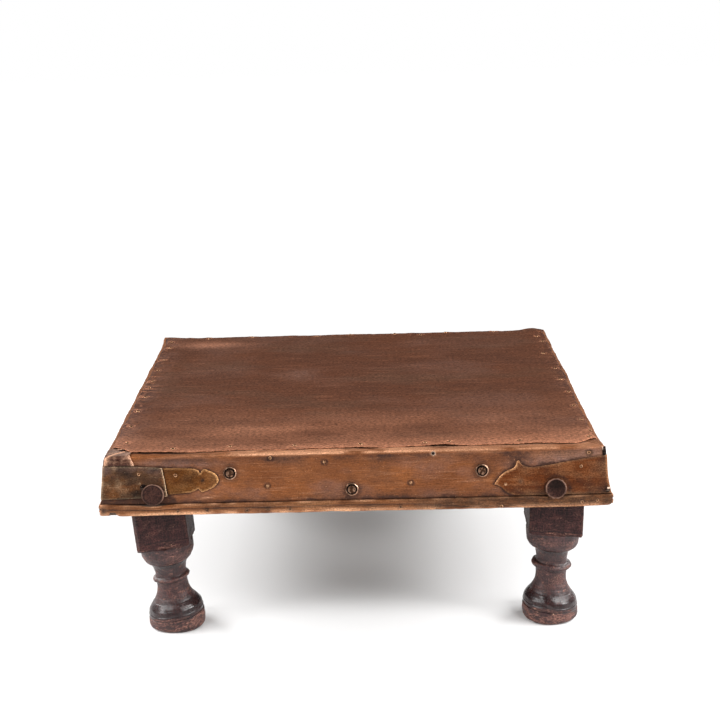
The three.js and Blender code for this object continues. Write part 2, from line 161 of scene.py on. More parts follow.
def smooth_step(value, start, end):
    t = clamp((value - start) / (end - start))
    return t * t * (3 - 2 * t)


# ---- Meshes ----


def knocked(point):
    """Where a point of the cladding ends up after the knocks."""
    moved = Vector(point)
    for centre, reach, shift in KNOCKS:
        distance = (point - Vector(centre)).length
        if distance < 2.5 * reach:
            moved += Vector(shift) * bump(distance, reach)
    return moved


def linked(name, data):
    """A new object, put into the scene."""
    thing = bpy.data.objects.new(name, data)
    bpy.context.scene.collection.objects.link(thing)
    return thing


class Shape:
    """Points and faces of one mesh in millimetres, with marks that the materials read.

    grain holds (along, across, seed) on the sheet. The wear mark is bare bright metal or wood on
    edges, and also painted highlight; the grime mark is dark oxide or dirt in hollows, and also
    painted shade and shadow; haze is a pale dull bloom.
    """

    def __init__(self):
        self.points = []
        self.faces = []
        self.grain = []
        self.marks = {"wear_and_highlight": [], "grime_and_shade": [], "haze": []}

    def add(self, point, grain=(0.0, 0.0), seed=0.0, wear_and_highlight=0.0, grime_and_shade=0.0, haze=0.0):
        self.points.append(Vector(point))
        self.grain.append((grain[0], grain[1], seed * 37.0))
        for label, value in (("wear_and_highlight", wear_and_highlight), ("grime_and_shade", grime_and_shade), ("haze", haze)):
            self.marks[label].append(clamp(value))
        return len(self.points) - 1

    def grid(self, rows, columns, point_at, wrap=False):
        """point_at(row, column) returns the arguments of add(), in order."""
        start = len(self.points)
        for row in range(rows):
            for column in range(columns):
                self.add(*point_at(row, column))
        last = columns if wrap else columns - 1
        for row in range(rows - 1):
            for column in range(last):
                a = start + row * columns + column
                b = start + row * columns + (column + 1) % columns
                self.faces.append((a, b, b + columns, a + columns))
        return start

    def cap(self, indices):
        self.faces.append(tuple(indices))

    def turn(self, matrix):
        self.points = [matrix @ point for point in self.points]

    def build(self, name, material, stands_for=(), outward=None, sharp=None):
        """Makes the object. outward is a direction that an open sheet's face looks in."""
        mesh = bpy.data.meshes.new(name)
        mesh.from_pydata([knocked(point) * MM for point in self.points], [], self.faces)
        for label, values in self.marks.items():
            layer = mesh.attributes.new(label, "FLOAT", "POINT")
            layer.data.foreach_set("value", values)
        layer = mesh.attributes.new("grain", "FLOAT_VECTOR", "POINT")
        layer.data.foreach_set("vector", [value for triple in self.grain for value in triple])
        bm = bmesh.new()
        bm.from_mesh(mesh)
        bmesh.ops.recalc_face_normals(bm, faces=bm.faces)
        if outward is not None:
            total = sum((face.normal * face.calc_area() for face in bm.faces), Vector())
            if total.dot(outward) < 0:
                bmesh.ops.reverse_faces(bm, faces=bm.faces)
        bm.to_mesh(mesh)
        bm.free()
        mesh.shade_smooth()
        if sharp is not None:
            mesh.set_sharp_from_angle(angle=math.radians(sharp))
        thing = linked(name, mesh)
        thing.data.materials.append(material)
        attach(thing, "root")
        if stands_for:
            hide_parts(*stands_for)
        return thing


def thicken(thing, thickness):
    """Gives an open sheet its thickness, inwards from the face that shows."""
    solid = thing.modifiers.new("sheet", "SOLIDIFY")
    solid.thickness = thickness * MM
    solid.offset = -1.0
    solid.use_rim = True
    solid.use_even_offset = False
    return thing


def rounded_path(corners, radii, step):
    """A path through corners, each inner one rounded, with points about step apart."""
    corners = [Vector(corner) for corner in corners]
    knots = [corners[0]]
    for before, corner, after, radius in zip(corners, corners[1:], corners[2:], radii):
        back = (before - corner).normalized()
        ahead = (after - corner).normalized()
        half_angle = back.angle(ahead) / 2
        reach = min(radius / math.tan(half_angle), (before - corner).length / 2,
                    (after - corner).length / 2)
        steps = max(3, int(reach * 2 / step) + 2)
        for i in range(steps + 1):
            t = i / steps
            start = corner + back * reach
            end = corner + ahead * reach
            knots.append(start * (1 - t) ** 2 + corner * 2 * t * (1 - t) + end * t ** 2)
    knots.append(corners[-1])
    path = [knots[0]]
    for knot in knots[1:]:
        gap = (knot - path[-1]).length
        if gap < 1e-4:
            continue
        pieces = max(1, round(gap / step))
        origin = path[-1].copy()
        for i in range(1, pieces + 1):
            path.append(origin.lerp(knot, i / pieces))
    return path


def path_normals(path):
    """Unit normals on the left of the path's direction, as (outwards, height)."""
    normals = []
    for i in range(len(path)):
        ahead = path[min(i + 1, len(path) - 1)]
        behind = path[max(i - 1, 0)]
        along = (ahead - behind).normalized()
        normals.append(Vector((-along.y, along.x)))
    return normals


def path_lengths(path):
    lengths = [0.0]
    for before, after in zip(path, path[1:]):
        lengths.append(lengths[-1] + (after - before).length)
    return lengths


def spread(low, high, fine, coarse, border):
    """Positions from low to high, close together within border of either end."""
    fine_steps = round(border / fine)
    middle_steps = max(1, round((high - low - 2 * border) / coarse))
    edge = [border * i / fine_steps for i in range(fine_steps)]
    start = [low + value for value in edge]
    inner_low, inner_high = low + border, high - border
    middle = [inner_low + (inner_high - inner_low) * i / middle_steps for i in range(middle_steps + 1)]
    end = [high - value for value in reversed(edge)]
    return start + middle + end


def face_at(z):
    """Distance from the middle of the table to a side's sloping face at a height."""
    return SKIRT_FOOT_OUT - (z - SKIRT_FOOT) * math.tan(FLARE)


def turned_to(side):
    return Matrix.Rotation(SIDES[side], 3, "Z")


def outward_of(side):
    return turned_to(side) @ Vector((0, -1, 0))


# ---- Materials ----


class Paint:
    """A node material, built up call by call."""

    def __init__(self, name):
        self.material = bpy.data.materials.new(name)
        self.material.use_nodes = True
        self.nodes = self.material.node_tree.nodes
        self.links = self.material.node_tree.links
        self.shader = self.nodes["Principled BSDF"]

    def socket(self, value, target):
        if isinstance(value, bpy.types.NodeSocket):
            self.links.new(value, target)
        elif isinstance(value, (tuple, list)) and len(value) == 3 and target.type == "RGBA":
            target.default_value = (*value, 1.0)
        else:
            target.default_value = value

    def mark(self, label):
        node = self.nodes.new("ShaderNodeAttribute")
        node.attribute_name = label
        return node.outputs["Vector"] if label == "grain" else node.outputs["Fac"]

    def object_point(self):
        return self.nodes.new("ShaderNodeTexCoord").outputs["Object"]

    def scaled(self, vector, scale):
        node = self.nodes.new("ShaderNodeVectorMath")
        node.operation = "MULTIPLY"
        self.socket(vector, node.inputs[0])
        node.inputs[1].default_value = scale
        return node.outputs["Vector"]

    def noise(self, vector, scale=1.0, detail=3.0, roughness=0.55, distortion=0.0):
        node = self.nodes.new("ShaderNodeTexNoise")
        self.socket(vector, node.inputs["Vector"])
        node.inputs["Scale"].default_value = scale
        node.inputs["Detail"].default_value = detail
        node.inputs["Roughness"].default_value = roughness
        node.inputs["Distortion"].default_value = distortion
        return node.outputs["Fac"]

    def pattern(self, grain, along, across, detail, roughness, offset=1, distortion=0.0):
        """Noise with features of a given size along and across the grain."""
        stretched = self.scaled(grain, (1 / along, 1 / across, offset))
        return self.noise(stretched, detail=detail, roughness=roughness, distortion=distortion)

    def maths(self, operation, a, b=0.0, clamped=False):
        node = self.nodes.new("ShaderNodeMath")
        node.operation = operation
        node.use_clamp = clamped
        self.socket(a, node.inputs[0])
        self.socket(b, node.inputs[1])
        return node.outputs["Value"]

    def times(self, a, b, clamped=False):
        return self.maths("MULTIPLY", a, b, clamped)

    def plus(self, a, b, clamped=False):
        return self.maths("ADD", a, b, clamped)

    def minus(self, a, b, clamped=False):
        return self.maths("SUBTRACT", a, b, clamped)

    def weighed(self, *textures):
        """Sum of (texture, weight) pairs."""
        total = self.times(*textures[0])
        for texture, weight in textures[1:]:
            total = self.plus(total, self.times(texture, weight))
        return total

    def between(self, value, low, high, to_low=0.0, to_high=1.0):
        """Eases from to_low to to_high as value goes from low to high."""
        node = self.nodes.new("ShaderNodeMapRange")
        node.interpolation_type = "SMOOTHSTEP"
        self.socket(value, node.inputs["Value"])
        for label, number in (("From Min", low), ("From Max", high),
                              ("To Min", to_low), ("To Max", to_high)):
            node.inputs[label].default_value = number
        return node.outputs["Result"]

    def mix(self, amount, a, b, blend="MIX"):
        node = self.nodes.new("ShaderNodeMix")
        node.data_type = "RGBA"
        node.blend_type = blend
        node.clamp_factor = True
        self.socket(amount, node.inputs["Factor"])
        first, second = [socket for socket in node.inputs if socket.type == "RGBA"]
        self.socket(a, first)
        self.socket(b, second)
        return next(socket for socket in node.outputs if socket.type == "RGBA")

    def coat(self, colour, over, texture, low, high, strength):
        """Puts another colour over this one where a texture goes from low to high."""
        return self.mix(self.times(self.between(texture, low, high), strength), colour, over)

    def bump(self, height, strength, distance):
        node = self.nodes.new("ShaderNodeBump")
        node.inputs["Strength"].default_value = strength
        node.inputs["Distance"].default_value = distance
        self.socket(height, node.inputs["Height"])
        return node.outputs["Normal"]

    def finish(self, colour, roughness, normal=None, metallic=0.0, **constants):
        self.socket(colour, self.shader.inputs["Base Color"])
        self.socket(roughness, self.shader.inputs["Roughness"])
        self.socket(metallic, self.shader.inputs["Metallic"])
        if normal is not None:
            self.links.new(normal, self.shader.inputs["Normal"])
        for label, value in constants.items():
            self.shader.inputs[label.replace("_", " ")].default_value = value
        return self.material


def sheet_metal(name, base, dark, tint, bright, tarnish_and_shade, bloom, roughness=0.44, metallic=0.6,
                blotch=60.0, streaks=1.0, fleck=1.3, contrast=1.0, specular=0.25):
    """Aged sheet metal: cloudy oxide, rubbed streaks, flecks, hairline scratches and bright edges, with
    painted highlights and shade where its marks ask.
    """
    paint = Paint(name)
    grain, wear_and_highlight, grime_and_shade, haze = [paint.mark(label) for label in ("grain", "wear_and_highlight", "grime_and_shade", "haze")]
    clouds = paint.pattern(grain, blotch, blotch * 0.6, 6, 0.62)
    stains = paint.pattern(grain, blotch / 0.8, blotch / 1.7, 5, 0.6, offset=3)
    mottled = paint.pattern(grain, 9.0, 7.0, 5, 0.75)
    rubbed = paint.pattern(grain, 60, 3.0, 4, 0.6)
    fine = paint.pattern(grain, 9, 0.9, 3, 0.65)
    flecks = paint.pattern(grain, 1.6 * fleck, fleck, 3, 0.75)
    specks = paint.pattern(grain, fleck / 0.8, fleck / 0.8, 1, 0.6, offset=9)
    hairs = paint.pattern(grain, 42, 13, 2, 0.5, offset=5, distortion=0.5)
    hair_line = paint.between(paint.maths("ABSOLUTE", paint.minus(hairs, 0.5)), 0.0, 0.004, 1.0, 0.0)
    scratches = paint.times(hair_line, paint.between(rubbed, 0.5, 0.6))

    colour = paint.mix(paint.between(clouds, 0.34, 0.64), dark, base)
    colour = paint.coat(colour, tint, stains, 0.48, 0.68, 0.75)
    colour = paint.coat(colour, dark, mottled, 0.5, 0.68, 0.45)
    colour = paint.coat(colour, bright, rubbed, 0.5, 0.75, 0.22 * streaks)
    colour = paint.mix(paint.times(scratches, 0.4), colour, bright)
    ragged_haze = paint.times(haze, paint.between(mottled, 0.35, 0.65, 0.5, 1.05), clamped=True)
    colour = paint.mix(ragged_haze, colour, bloom)
    # Dark oxide and dirt, and painted shade and shadow, where the marks ask for them.
    ragged_grime_and_shade = paint.times(grime_and_shade, paint.between(mottled, 0.3, 0.6, 0.7, 1.2), clamped=True)
    colour = paint.mix(ragged_grime_and_shade, colour, tarnish_and_shade)
    # Bare bright metal, and painted highlights, where the marks ask for them.
    ragged_wear_and_highlight = paint.times(wear_and_highlight, paint.between(flecks, 0.3, 0.6, 0.5, 1.15), clamped=True)
    colour = paint.mix(ragged_wear_and_highlight, colour, bright)
    shade = paint.times(
        paint.between(flecks, 0.28, 0.72, 1 - 0.42 * contrast, 1 + 0.42 * contrast),
        paint.between(fine, 0.3, 0.7, 1 - 0.24 * streaks, 1 + 0.24 * streaks))
    colour = paint.mix(1.0, colour, shade, "MULTIPLY")
    colour = paint.coat(colour, bright, specks, 0.70, 0.78, 0.5)
    colour = paint.coat(colour, tarnish_and_shade, specks, 0.30, 0.22, 0.6)

    rough = paint.between(clouds, 0.3, 0.7, roughness + 0.07, roughness - 0.05)
    rough = paint.plus(rough, paint.between(flecks, 0.3, 0.7, 0.05, -0.05))
    rough = paint.plus(rough, paint.times(grime_and_shade, 0.25))
    rough = paint.minus(rough, paint.times(wear_and_highlight, 0.05), clamped=True)
    height = paint.weighed((rubbed, 0.3), (fine, 0.25), (mottled, 0.55), (flecks, 0.35),
                           (scratches, -0.25))
    metal = paint.minus(metallic, paint.times(ragged_grime_and_shade, metallic * 0.8))
    metal = paint.plus(metal, paint.times(ragged_wear_and_highlight, 0.35 - metallic), clamped=True)
    return paint.finish(colour, rough, paint.bump(height, 0.5, 0.0005), metal, Specular_IOR_Level=specular)


def forged_iron():
    """Rusty forged iron: pitted, darker in its pits, brown on its high spots."""
    paint = Paint("forged_iron")
    grain = paint.mark("grain")
    pits = paint.noise(grain, scale=0.75, detail=5, roughness=0.75)
    rust = paint.noise(grain, scale=0.25, detail=4, roughness=0.6)
    colour = paint.mix(paint.between(pits, 0.38, 0.62), (0.013, 0.0062, 0.0052), (0.066, 0.026, 0.0195))
    colour = paint.coat(colour, (0.085, 0.036, 0.024), rust, 0.5, 0.66, 0.5)
    # The marks paint a highlight on each stud's crest, shade in the dished stud's cup and shadow round each
    # foot.
    colour = paint.mix(paint.mark("wear_and_highlight"), colour, (0.30, 0.17, 0.12))
    colour = paint.mix(paint.mark("grime_and_shade"), colour, (0.010, 0.006, 0.005))
    rough = paint.between(pits, 0.3, 0.7, 0.85, 0.6)
    normal = paint.bump(pits, 0.9, 0.0012)
    return paint.finish(colour, rough, normal, metallic=0.3, Specular_IOR_Level=0.15)


def fixing_metal(name, base, dark, bright):
    """Tarnished screws, washers and tacks."""
    paint = Paint(name)
    grain = paint.mark("grain")
    speckle = paint.noise(grain, scale=0.7, detail=4, roughness=0.65)
    colour = paint.mix(paint.between(speckle, 0.35, 0.65), dark, base)
    # The marks paint highlights on the lit side of crests, and shade in slots and cups and round the foot
    # of each head.
    colour = paint.mix(paint.mark("wear_and_highlight"), colour, bright)
    colour = paint.mix(paint.mark("grime_and_shade"), colour, (0.015, 0.010, 0.008))
    rough = paint.between(speckle, 0.3, 0.7, 0.55, 0.32)
    normal = paint.bump(speckle, 0.3, 0.0003)
    return paint.finish(colour, rough, normal, metallic=0.85)


def dark_wood(name, gloss):
    """Dark stained hardwood. With gloss, its blackened parts are lacquered and shine."""
    paint = Paint(name)
    grain = paint.mark("grain")
    wear_and_highlight = paint.mark("wear_and_highlight")
    grime_and_shade = paint.mark("grime_and_shade")
    fibres = paint.pattern(grain, 1.6, 26, 5, 0.65)
    blotches = paint.pattern(grain, 15, 11, 5, 0.7)
    pores = paint.pattern(grain, 0.9, 3.0, 2, 0.6)
    turning = paint.pattern(grain, 110, 1.1, 3, 0.6)
    grit = paint.pattern(grain, 2.0, 1.6, 4, 0.75)
    specks = paint.pattern(grain, 2.4, 2.4, 1, 0.6, offset=7)

    colour = paint.mix(paint.between(fibres, 0.36, 0.64), (0.016, 0.006, 0.0062), (0.044, 0.014, 0.014))
    colour = paint.coat(colour, (0.078, 0.025, 0.021), blotches, 0.47, 0.66, 0.7)
    colour = paint.coat(colour, (0.100, 0.044, 0.034), turning, 0.52, 0.68, 0.45)
    colour = paint.coat(colour, (0.007, 0.003, 0.003), pores, 0.54, 0.68, 0.7)
    # Dust and wear, with a painted highlight on the lower edge of each bowl.
    dust_and_highlight = paint.times(wear_and_highlight, paint.between(grit, 0.36, 0.60, 0.15, 1.0))
    colour = paint.mix(dust_and_highlight, colour, (0.190, 0.086, 0.064))
    # Black lacquer, with a painted shadow line under each bowl.
    colour = paint.mix(paint.times(grime_and_shade, 0.85, clamped=True), colour, (0.012, 0.0085, 0.009))
    colour = paint.mix(1.0, colour, paint.between(grit, 0.3, 0.7, 0.3, 1.8), "MULTIPLY")
    colour = paint.coat(colour, (0.62, 0.36, 0.24), specks, 0.70, 0.76, paint.between(wear_and_highlight, 0.0, 0.5))

    rough = paint.between(blotches, 0.3, 0.7, 0.52, 0.38)
    rough = paint.minus(rough, paint.times(grime_and_shade, 0.27 if gloss else -0.1))
    rough = paint.plus(rough, paint.between(grit, 0.3, 0.7, 0.06, -0.06))
    rough = paint.plus(rough, paint.times(wear_and_highlight, 0.3), clamped=True)
    height = paint.weighed((fibres, 0.6), (turning, 0.6), (grit, paint.plus(wear_and_highlight, 0.35)),
                           (paint.between(pores, 0.56, 0.7), -0.5))
    height = paint.times(height, paint.between(grime_and_shade, 0.2, 0.8, 1.0, 0.3 if gloss else 1.0))
    normal = paint.bump(height, 0.55, 0.0008)
    return paint.finish(colour, rough, normal, Specular_IOR_Level=0.42 if gloss else 0.16)


def bare_wood():
    """Dry unfinished boards, seen only from below and through gaps."""
    paint = Paint("bare_wood")
    point = paint.object_point()
    rings = paint.noise(paint.scaled(point, (9, 60, 60)), detail=5, roughness=0.6, distortion=0.4)
    stains = paint.noise(point, scale=7, detail=4)
    colour = paint.mix(paint.between(rings, 0.35, 0.65), (0.040, 0.024, 0.016), (0.115, 0.070, 0.045))
    colour = paint.coat(colour, (0.020, 0.013, 0.010), stains, 0.45, 0.65, 0.5)
    rough = paint.between(rings, 0.3, 0.7, 0.9, 0.72)
    normal = paint.bump(rings, 0.5, 0.0008)
    return paint.finish(colour, rough, normal)


TOP_COPPER = sheet_metal(
    "top_copper", base=(0.091, 0.0333, 0.0174), dark=(0.070, 0.0262, 0.0142), tint=(0.080, 0.0370, 0.0222),
    bright=(0.37, 0.155, 0.085), tarnish_and_shade=(0.022, 0.010, 0.009), bloom=(0.150, 0.082, 0.062),
    roughness=0.56, metallic=0.25, blotch=120.0, fleck=2.4, contrast=1.1, specular=0.12)
SIDE_COPPER = sheet_metal(
    "side_copper", base=(0.262, 0.088, 0.0275), dark=(0.170, 0.055, 0.0185), tint=(0.205, 0.080, 0.037),
    bright=(0.66, 0.335, 0.19), tarnish_and_shade=(0.044, 0.0175, 0.0105), bloom=(0.23, 0.125, 0.098),
    roughness=0.46, metallic=0.5, blotch=75.0, contrast=0.7, specular=0.2)
LIP_COPPER = sheet_metal(
    "lip_copper", base=(0.25, 0.092, 0.034), dark=(0.135, 0.049, 0.020), tint=(0.19, 0.088, 0.040),
    bright=(0.64, 0.335, 0.185), tarnish_and_shade=(0.050, 0.024, 0.016), bloom=(0.052, 0.025, 0.014),
    roughness=0.42, metallic=0.6, blotch=40.0, specular=0.15, streaks=0.8)
CAP_COPPER = sheet_metal(
    "cap_copper", base=(0.080, 0.030, 0.019), dark=(0.045, 0.018, 0.013), tint=(0.092, 0.043, 0.033),
    bright=(0.60, 0.33, 0.21), tarnish_and_shade=(0.026, 0.014, 0.012), bloom=(0.32, 0.21, 0.165),
    roughness=0.46, metallic=0.6, blotch=24.0, specular=0.12)
STRAP_BRASS = sheet_metal(
    "strap_brass", base=(0.142, 0.0385, 0.0100), dark=(0.074, 0.0205, 0.0070), tint=(0.118, 0.0345, 0.0105),
    bright=(0.56, 0.28, 0.13), tarnish_and_shade=(0.030, 0.0125, 0.0085), bloom=(0.165, 0.060, 0.022),
    roughness=0.5, metallic=0.6, blotch=30.0, streaks=0.5, specular=0.12)
TONGUE_BRASS = sheet_metal(
    "tongue_brass", base=(0.112, 0.036, 0.0062), dark=(0.080, 0.027, 0.0055), tint=(0.140, 0.044, 0.0095),
    bright=(0.56, 0.29, 0.12), tarnish_and_shade=(0.026, 0.012, 0.007), bloom=(0.24, 0.085, 0.028),
    roughness=0.52, metallic=0.5, blotch=30.0, streaks=0.6, specular=0.1)
PLATE_BRONZE = sheet_metal(
    "plate_bronze", base=(0.108, 0.049, 0.0215), dark=(0.060, 0.029, 0.0165), tint=(0.180, 0.064, 0.019),
    bright=(0.62, 0.42, 0.26), tarnish_and_shade=(0.009, 0.006, 0.005), bloom=(0.13, 0.078, 0.064),
    roughness=0.54, metallic=0.55, blotch=26.0, streaks=0.25, specular=0.08)
# Near black, standing for deep shade: in nail holes and in the gaps at the front right corner.
SHADOW_BLACK = sheet_metal(
    "shadow_black", base=(0.012, 0.007, 0.006), dark=(0.006, 0.004, 0.0035), tint=(0.016, 0.009, 0.007),
    bright=(0.70, 0.50, 0.38), tarnish_and_shade=(0.004, 0.003, 0.003), bloom=(0.02, 0.015, 0.013),
    roughness=0.85, metallic=0.1, blotch=8.0, specular=0.03)
IRON = forged_iron()
FIXING = fixing_metal("fixing_steel", base=(0.130, 0.054, 0.024), dark=(0.034, 0.015, 0.009),
                      bright=(0.66, 0.40, 0.27))
TACK_METAL = fixing_metal("tack_copper", base=(0.27, 0.120, 0.052), dark=(0.12, 0.050, 0.024),
                          bright=(0.62, 0.36, 0.20))
LEG_WOOD = dark_wood("turned_wood", gloss=True)
BLOCK_WOOD = dark_wood("block_wood", gloss=False)
BOARD_WOOD = bare_wood()

# ---- Outlines of the corner metal, as (distance from the corner, height) ----


def curve_points(start, control, end, steps=7):
    """Points after start along a quadratic curve."""
    result = []
    for i in range(1, steps + 1):
        t = i / steps
        result.append(tuple(
            a * (1 - t) ** 2 + 2 * b * t * (1 - t) + c * t ** 2 for a, b, c in zip(start, control, end)))
    return result


def traced(start, *moves):
    """An outline from a start point and moves, each an end point or (control, end)."""
    outline = [start]
    for move in moves:
        if isinstance(move[0], tuple):
            outline += curve_points(outline[-1], move[0], move[1])
        else:
            outline.append(move)
    return outline


def fill_outline(outline, longest):
    """The closed outline with its long edges divided."""
    result = []
    for start, end in zip(outline, outline[1:] + outline[:1]):
        steps = max(1, math.ceil(math.dist(start, end) / longest))
        for i in range(steps):
            t = i / steps
            result.append(tuple(a + (b - a) * t for a, b in zip(start, end)))
    return result


def nearest(points):
    """A function that gives the distance from (x, y) to the nearest of the points."""
    tree = kdtree.KDTree(len(points))
    for i, point in enumerate(points):
        tree.insert((point[0], point[1], 0.0), i)
    tree.balance()
    return lambda x, y: tree.find((x, y, 0.0))[2]


def strap_outline():
    """A strap with an ogee point and a cusp at both ends."""
    low = SKIRT_FOOT + 0.5
    half = traced(
        (0, low), (60, low), (98, low), ((112, low), (118.3, 179.8)), ((120.6, 183.4), (127.6, 185.3)),
        ((119, 199), (106.2, 202.6)), ((101.2, 204.6), (100.0, 209.4)), ((99.4, 212.2), (97.4, 212.2)),
        ((95.8, 212.0), (95.4, 209.6)), ((92.6, 204.0), (82, 203.8)), (60, 206.8), (30, 211.8), (0, 216))
    other = [(-s, z) for s, z in reversed(half[1:-1])]
    return half + other


def plate_outline():
    """The bronze plate. The front is at negative distances."""
    return [(0, 177.2), (30, 178.4), (71, 180.0), (67.5, 212.5), (40, 214.4), (0, 216.0),
            (-35, 214.8), (-67.6, 212.8), (-76.0, 180.4), (-30, 178.0)]


def tongue_outline():
    """The barbed tongue beside the plate, on the front only."""
    corner = face_at(195)
    across = traced(
        (-208.6, 181.6), (-217.4, 212.4), (-187, 211.4), ((-181, 211.2), (-176.6, 209.0)),
        (-174.6, 205.2), (-172.2, 209.4), ((-169.8, 210.8), (-166.4, 209.2)),
        ((-154, 205.5), (-153.1, 196.4)), ((-155.5, 189), (-162.5, 187.0)),
        ((-166.5, 184.6), (-170.6, 184.0)), (-175.2, 187.8), ((-181, 183.4), (-191.5, 183.0)))
    return [(-corner - x, z) for x, z in across]


def metal_edges(side):
    """Points along the outlines of all the corner metal on one side, as (across, height)."""
    points = []
    for corner_side, sign in ((side, 1), (PREVIOUS_SIDE[side], -1)):
        if corner_side == "left":
            outlines = [plate_outline(), tongue_outline()]
        else:
            outlines = [strap_outline()]
        for outline in outlines:
            for s, z in fill_outline(outline, 0.8):
                if s * sign > 0:
                    points.append((sign * face_at(z) - s, z))
    return points


# ---- Copper sheets ----


def sheet_piece(name, rows, columns, point_at, material, stands_for, outward,
                thickness=SHEET, side="front"):
    """An open sheet made on a grid as if on the front, turned to its side and thickened."""
    shape = Shape()
    shape.grid(rows, columns, point_at)
    shape.turn(turned_to(side))
    return thicken(shape.build(name, material, stands_for, outward), thickness)


def tack_dimple(distance):
    """Shape of the sheet round a tack: pulled down at the tack, puffed up round it."""
    return 0.45 * bump(distance - 5.6, 2.0) - 0.7 * bump(distance, 2.6)


def rounded_plan(x, y, half_x, rear, radius):
    """Pulls a point in, so that the rear corners of a sheet are rounded."""
    dx = abs(x) - (half_x - radius)
    dy = y - (rear - radius)
    distance = math.hypot(dx, dy)
    if dx > 0 and dy > 0 and distance > 0:
        reach = max(dx, dy) / distance
        x = math.copysign(half_x - radius + dx * reach, x)
        y = rear - radius + dy * reach
    return x, y


def front_edge(x):
    """Where the raw front edge of the top sheet runs."""
    ragged = 1.9 * cloud(x, 0, 46, 3, 3) + 0.7 * cloud(x, 0, 7, 4, 2)
    corner = 17.0 * smooth_step(-x, 250, 277) + 14.0 * smooth_step(x, 250, 280)
    bulge = 5.0 * bump(x + 195, 34)
    return -269.5 + ragged + corner - bulge


def edge_rise(x):
    """How far the raw front edge has lifted off the flange."""
    lifted = sum(height * bump(x - across, width) for across, width, height in EDGE_LIFTS)
    return lifted + 0.55 * clamp(0.75 + cloud(x, 0, 33, 22, 2))


def top_marks(x, y, half, from_front, from_rear, crumple):
    """Wear, a painted sheen towards the front, dark marks and haze of the top sheet, apart from its creases
    and tacks.
    """
    from_side = half - abs(x)
    wear_and_highlight = 0.85 * smooth_step(from_front, 1.5, 0.2) + 0.32 * smooth_step(from_front, 26, 2)
    wear_and_highlight += 0.3 * smooth_step(from_rear, 3.0, 0.5) * clamp(0.2 + 1.5 * cloud(x, y, 14, 13, 2))
    # Lighter towards the front: rubbed wear and a painted sheen.
    wear_and_highlight += 0.43 * smooth_step(-y, 40, 265) * clamp(0.62 + 0.9 * cloud(x * 0.45, y, 55, 14, 4))
    wear_and_highlight += 0.10 * smooth_step(-y, 120, 220) * smooth_step(abs(x), 110, 180)
    wear_and_highlight += 0.55 * bump((x + 208) / 42, 1) * bump(y - 228 - 8 * cloud(x, y, 30, 15, 2), 15)
    wear_and_highlight += 0.22 * bump((x + 100) / 50, 1) * bump(y + 190 - 8 * cloud(x, y, 30, 15, 2), 9)
    wear_and_highlight += 0.35 * crumple * clamp(1.7 * cloud(x, y, 7, 19, 3) - 0.15)
    grime_and_shade = 0.35 * crumple * clamp(0.5 + cloud(x, y, 18, 12, 2))
    grime_and_shade += 0.9 * smooth_step(from_side, 6.5, 1.5) + 0.3 * smooth_step(from_rear, 5.5, 2)
    rubbed_dark = smooth_step(-x, half - 40, half - 8) * smooth_step(-y, -60, 60)
    grime_and_shade += 0.45 * rubbed_dark * clamp(0.7 + 1.5 * cloud(x, y, 20, 23, 3))
    haze = 0.8 * bump((x + 210) / 34, 1) * bump(y - 226 - 6 * cloud(x, y, 16, 21, 3), 14)
    haze += 0.45 * bump(math.hypot(x + 70, (y - 50) * 0.8) / (20 + 8 * cloud(x, y, 14, 16, 2)), 1)
    haze += 0.35 * smooth_step(-x, half - 42, half - 12) * clamp(0.6 + 1.4 * cloud(x, y, 16, 17, 3))
    haze += 0.25 * clamp(1.6 * cloud(x * 0.6, y, 70, 18, 4))
    return wear_and_highlight, grime_and_shade, haze


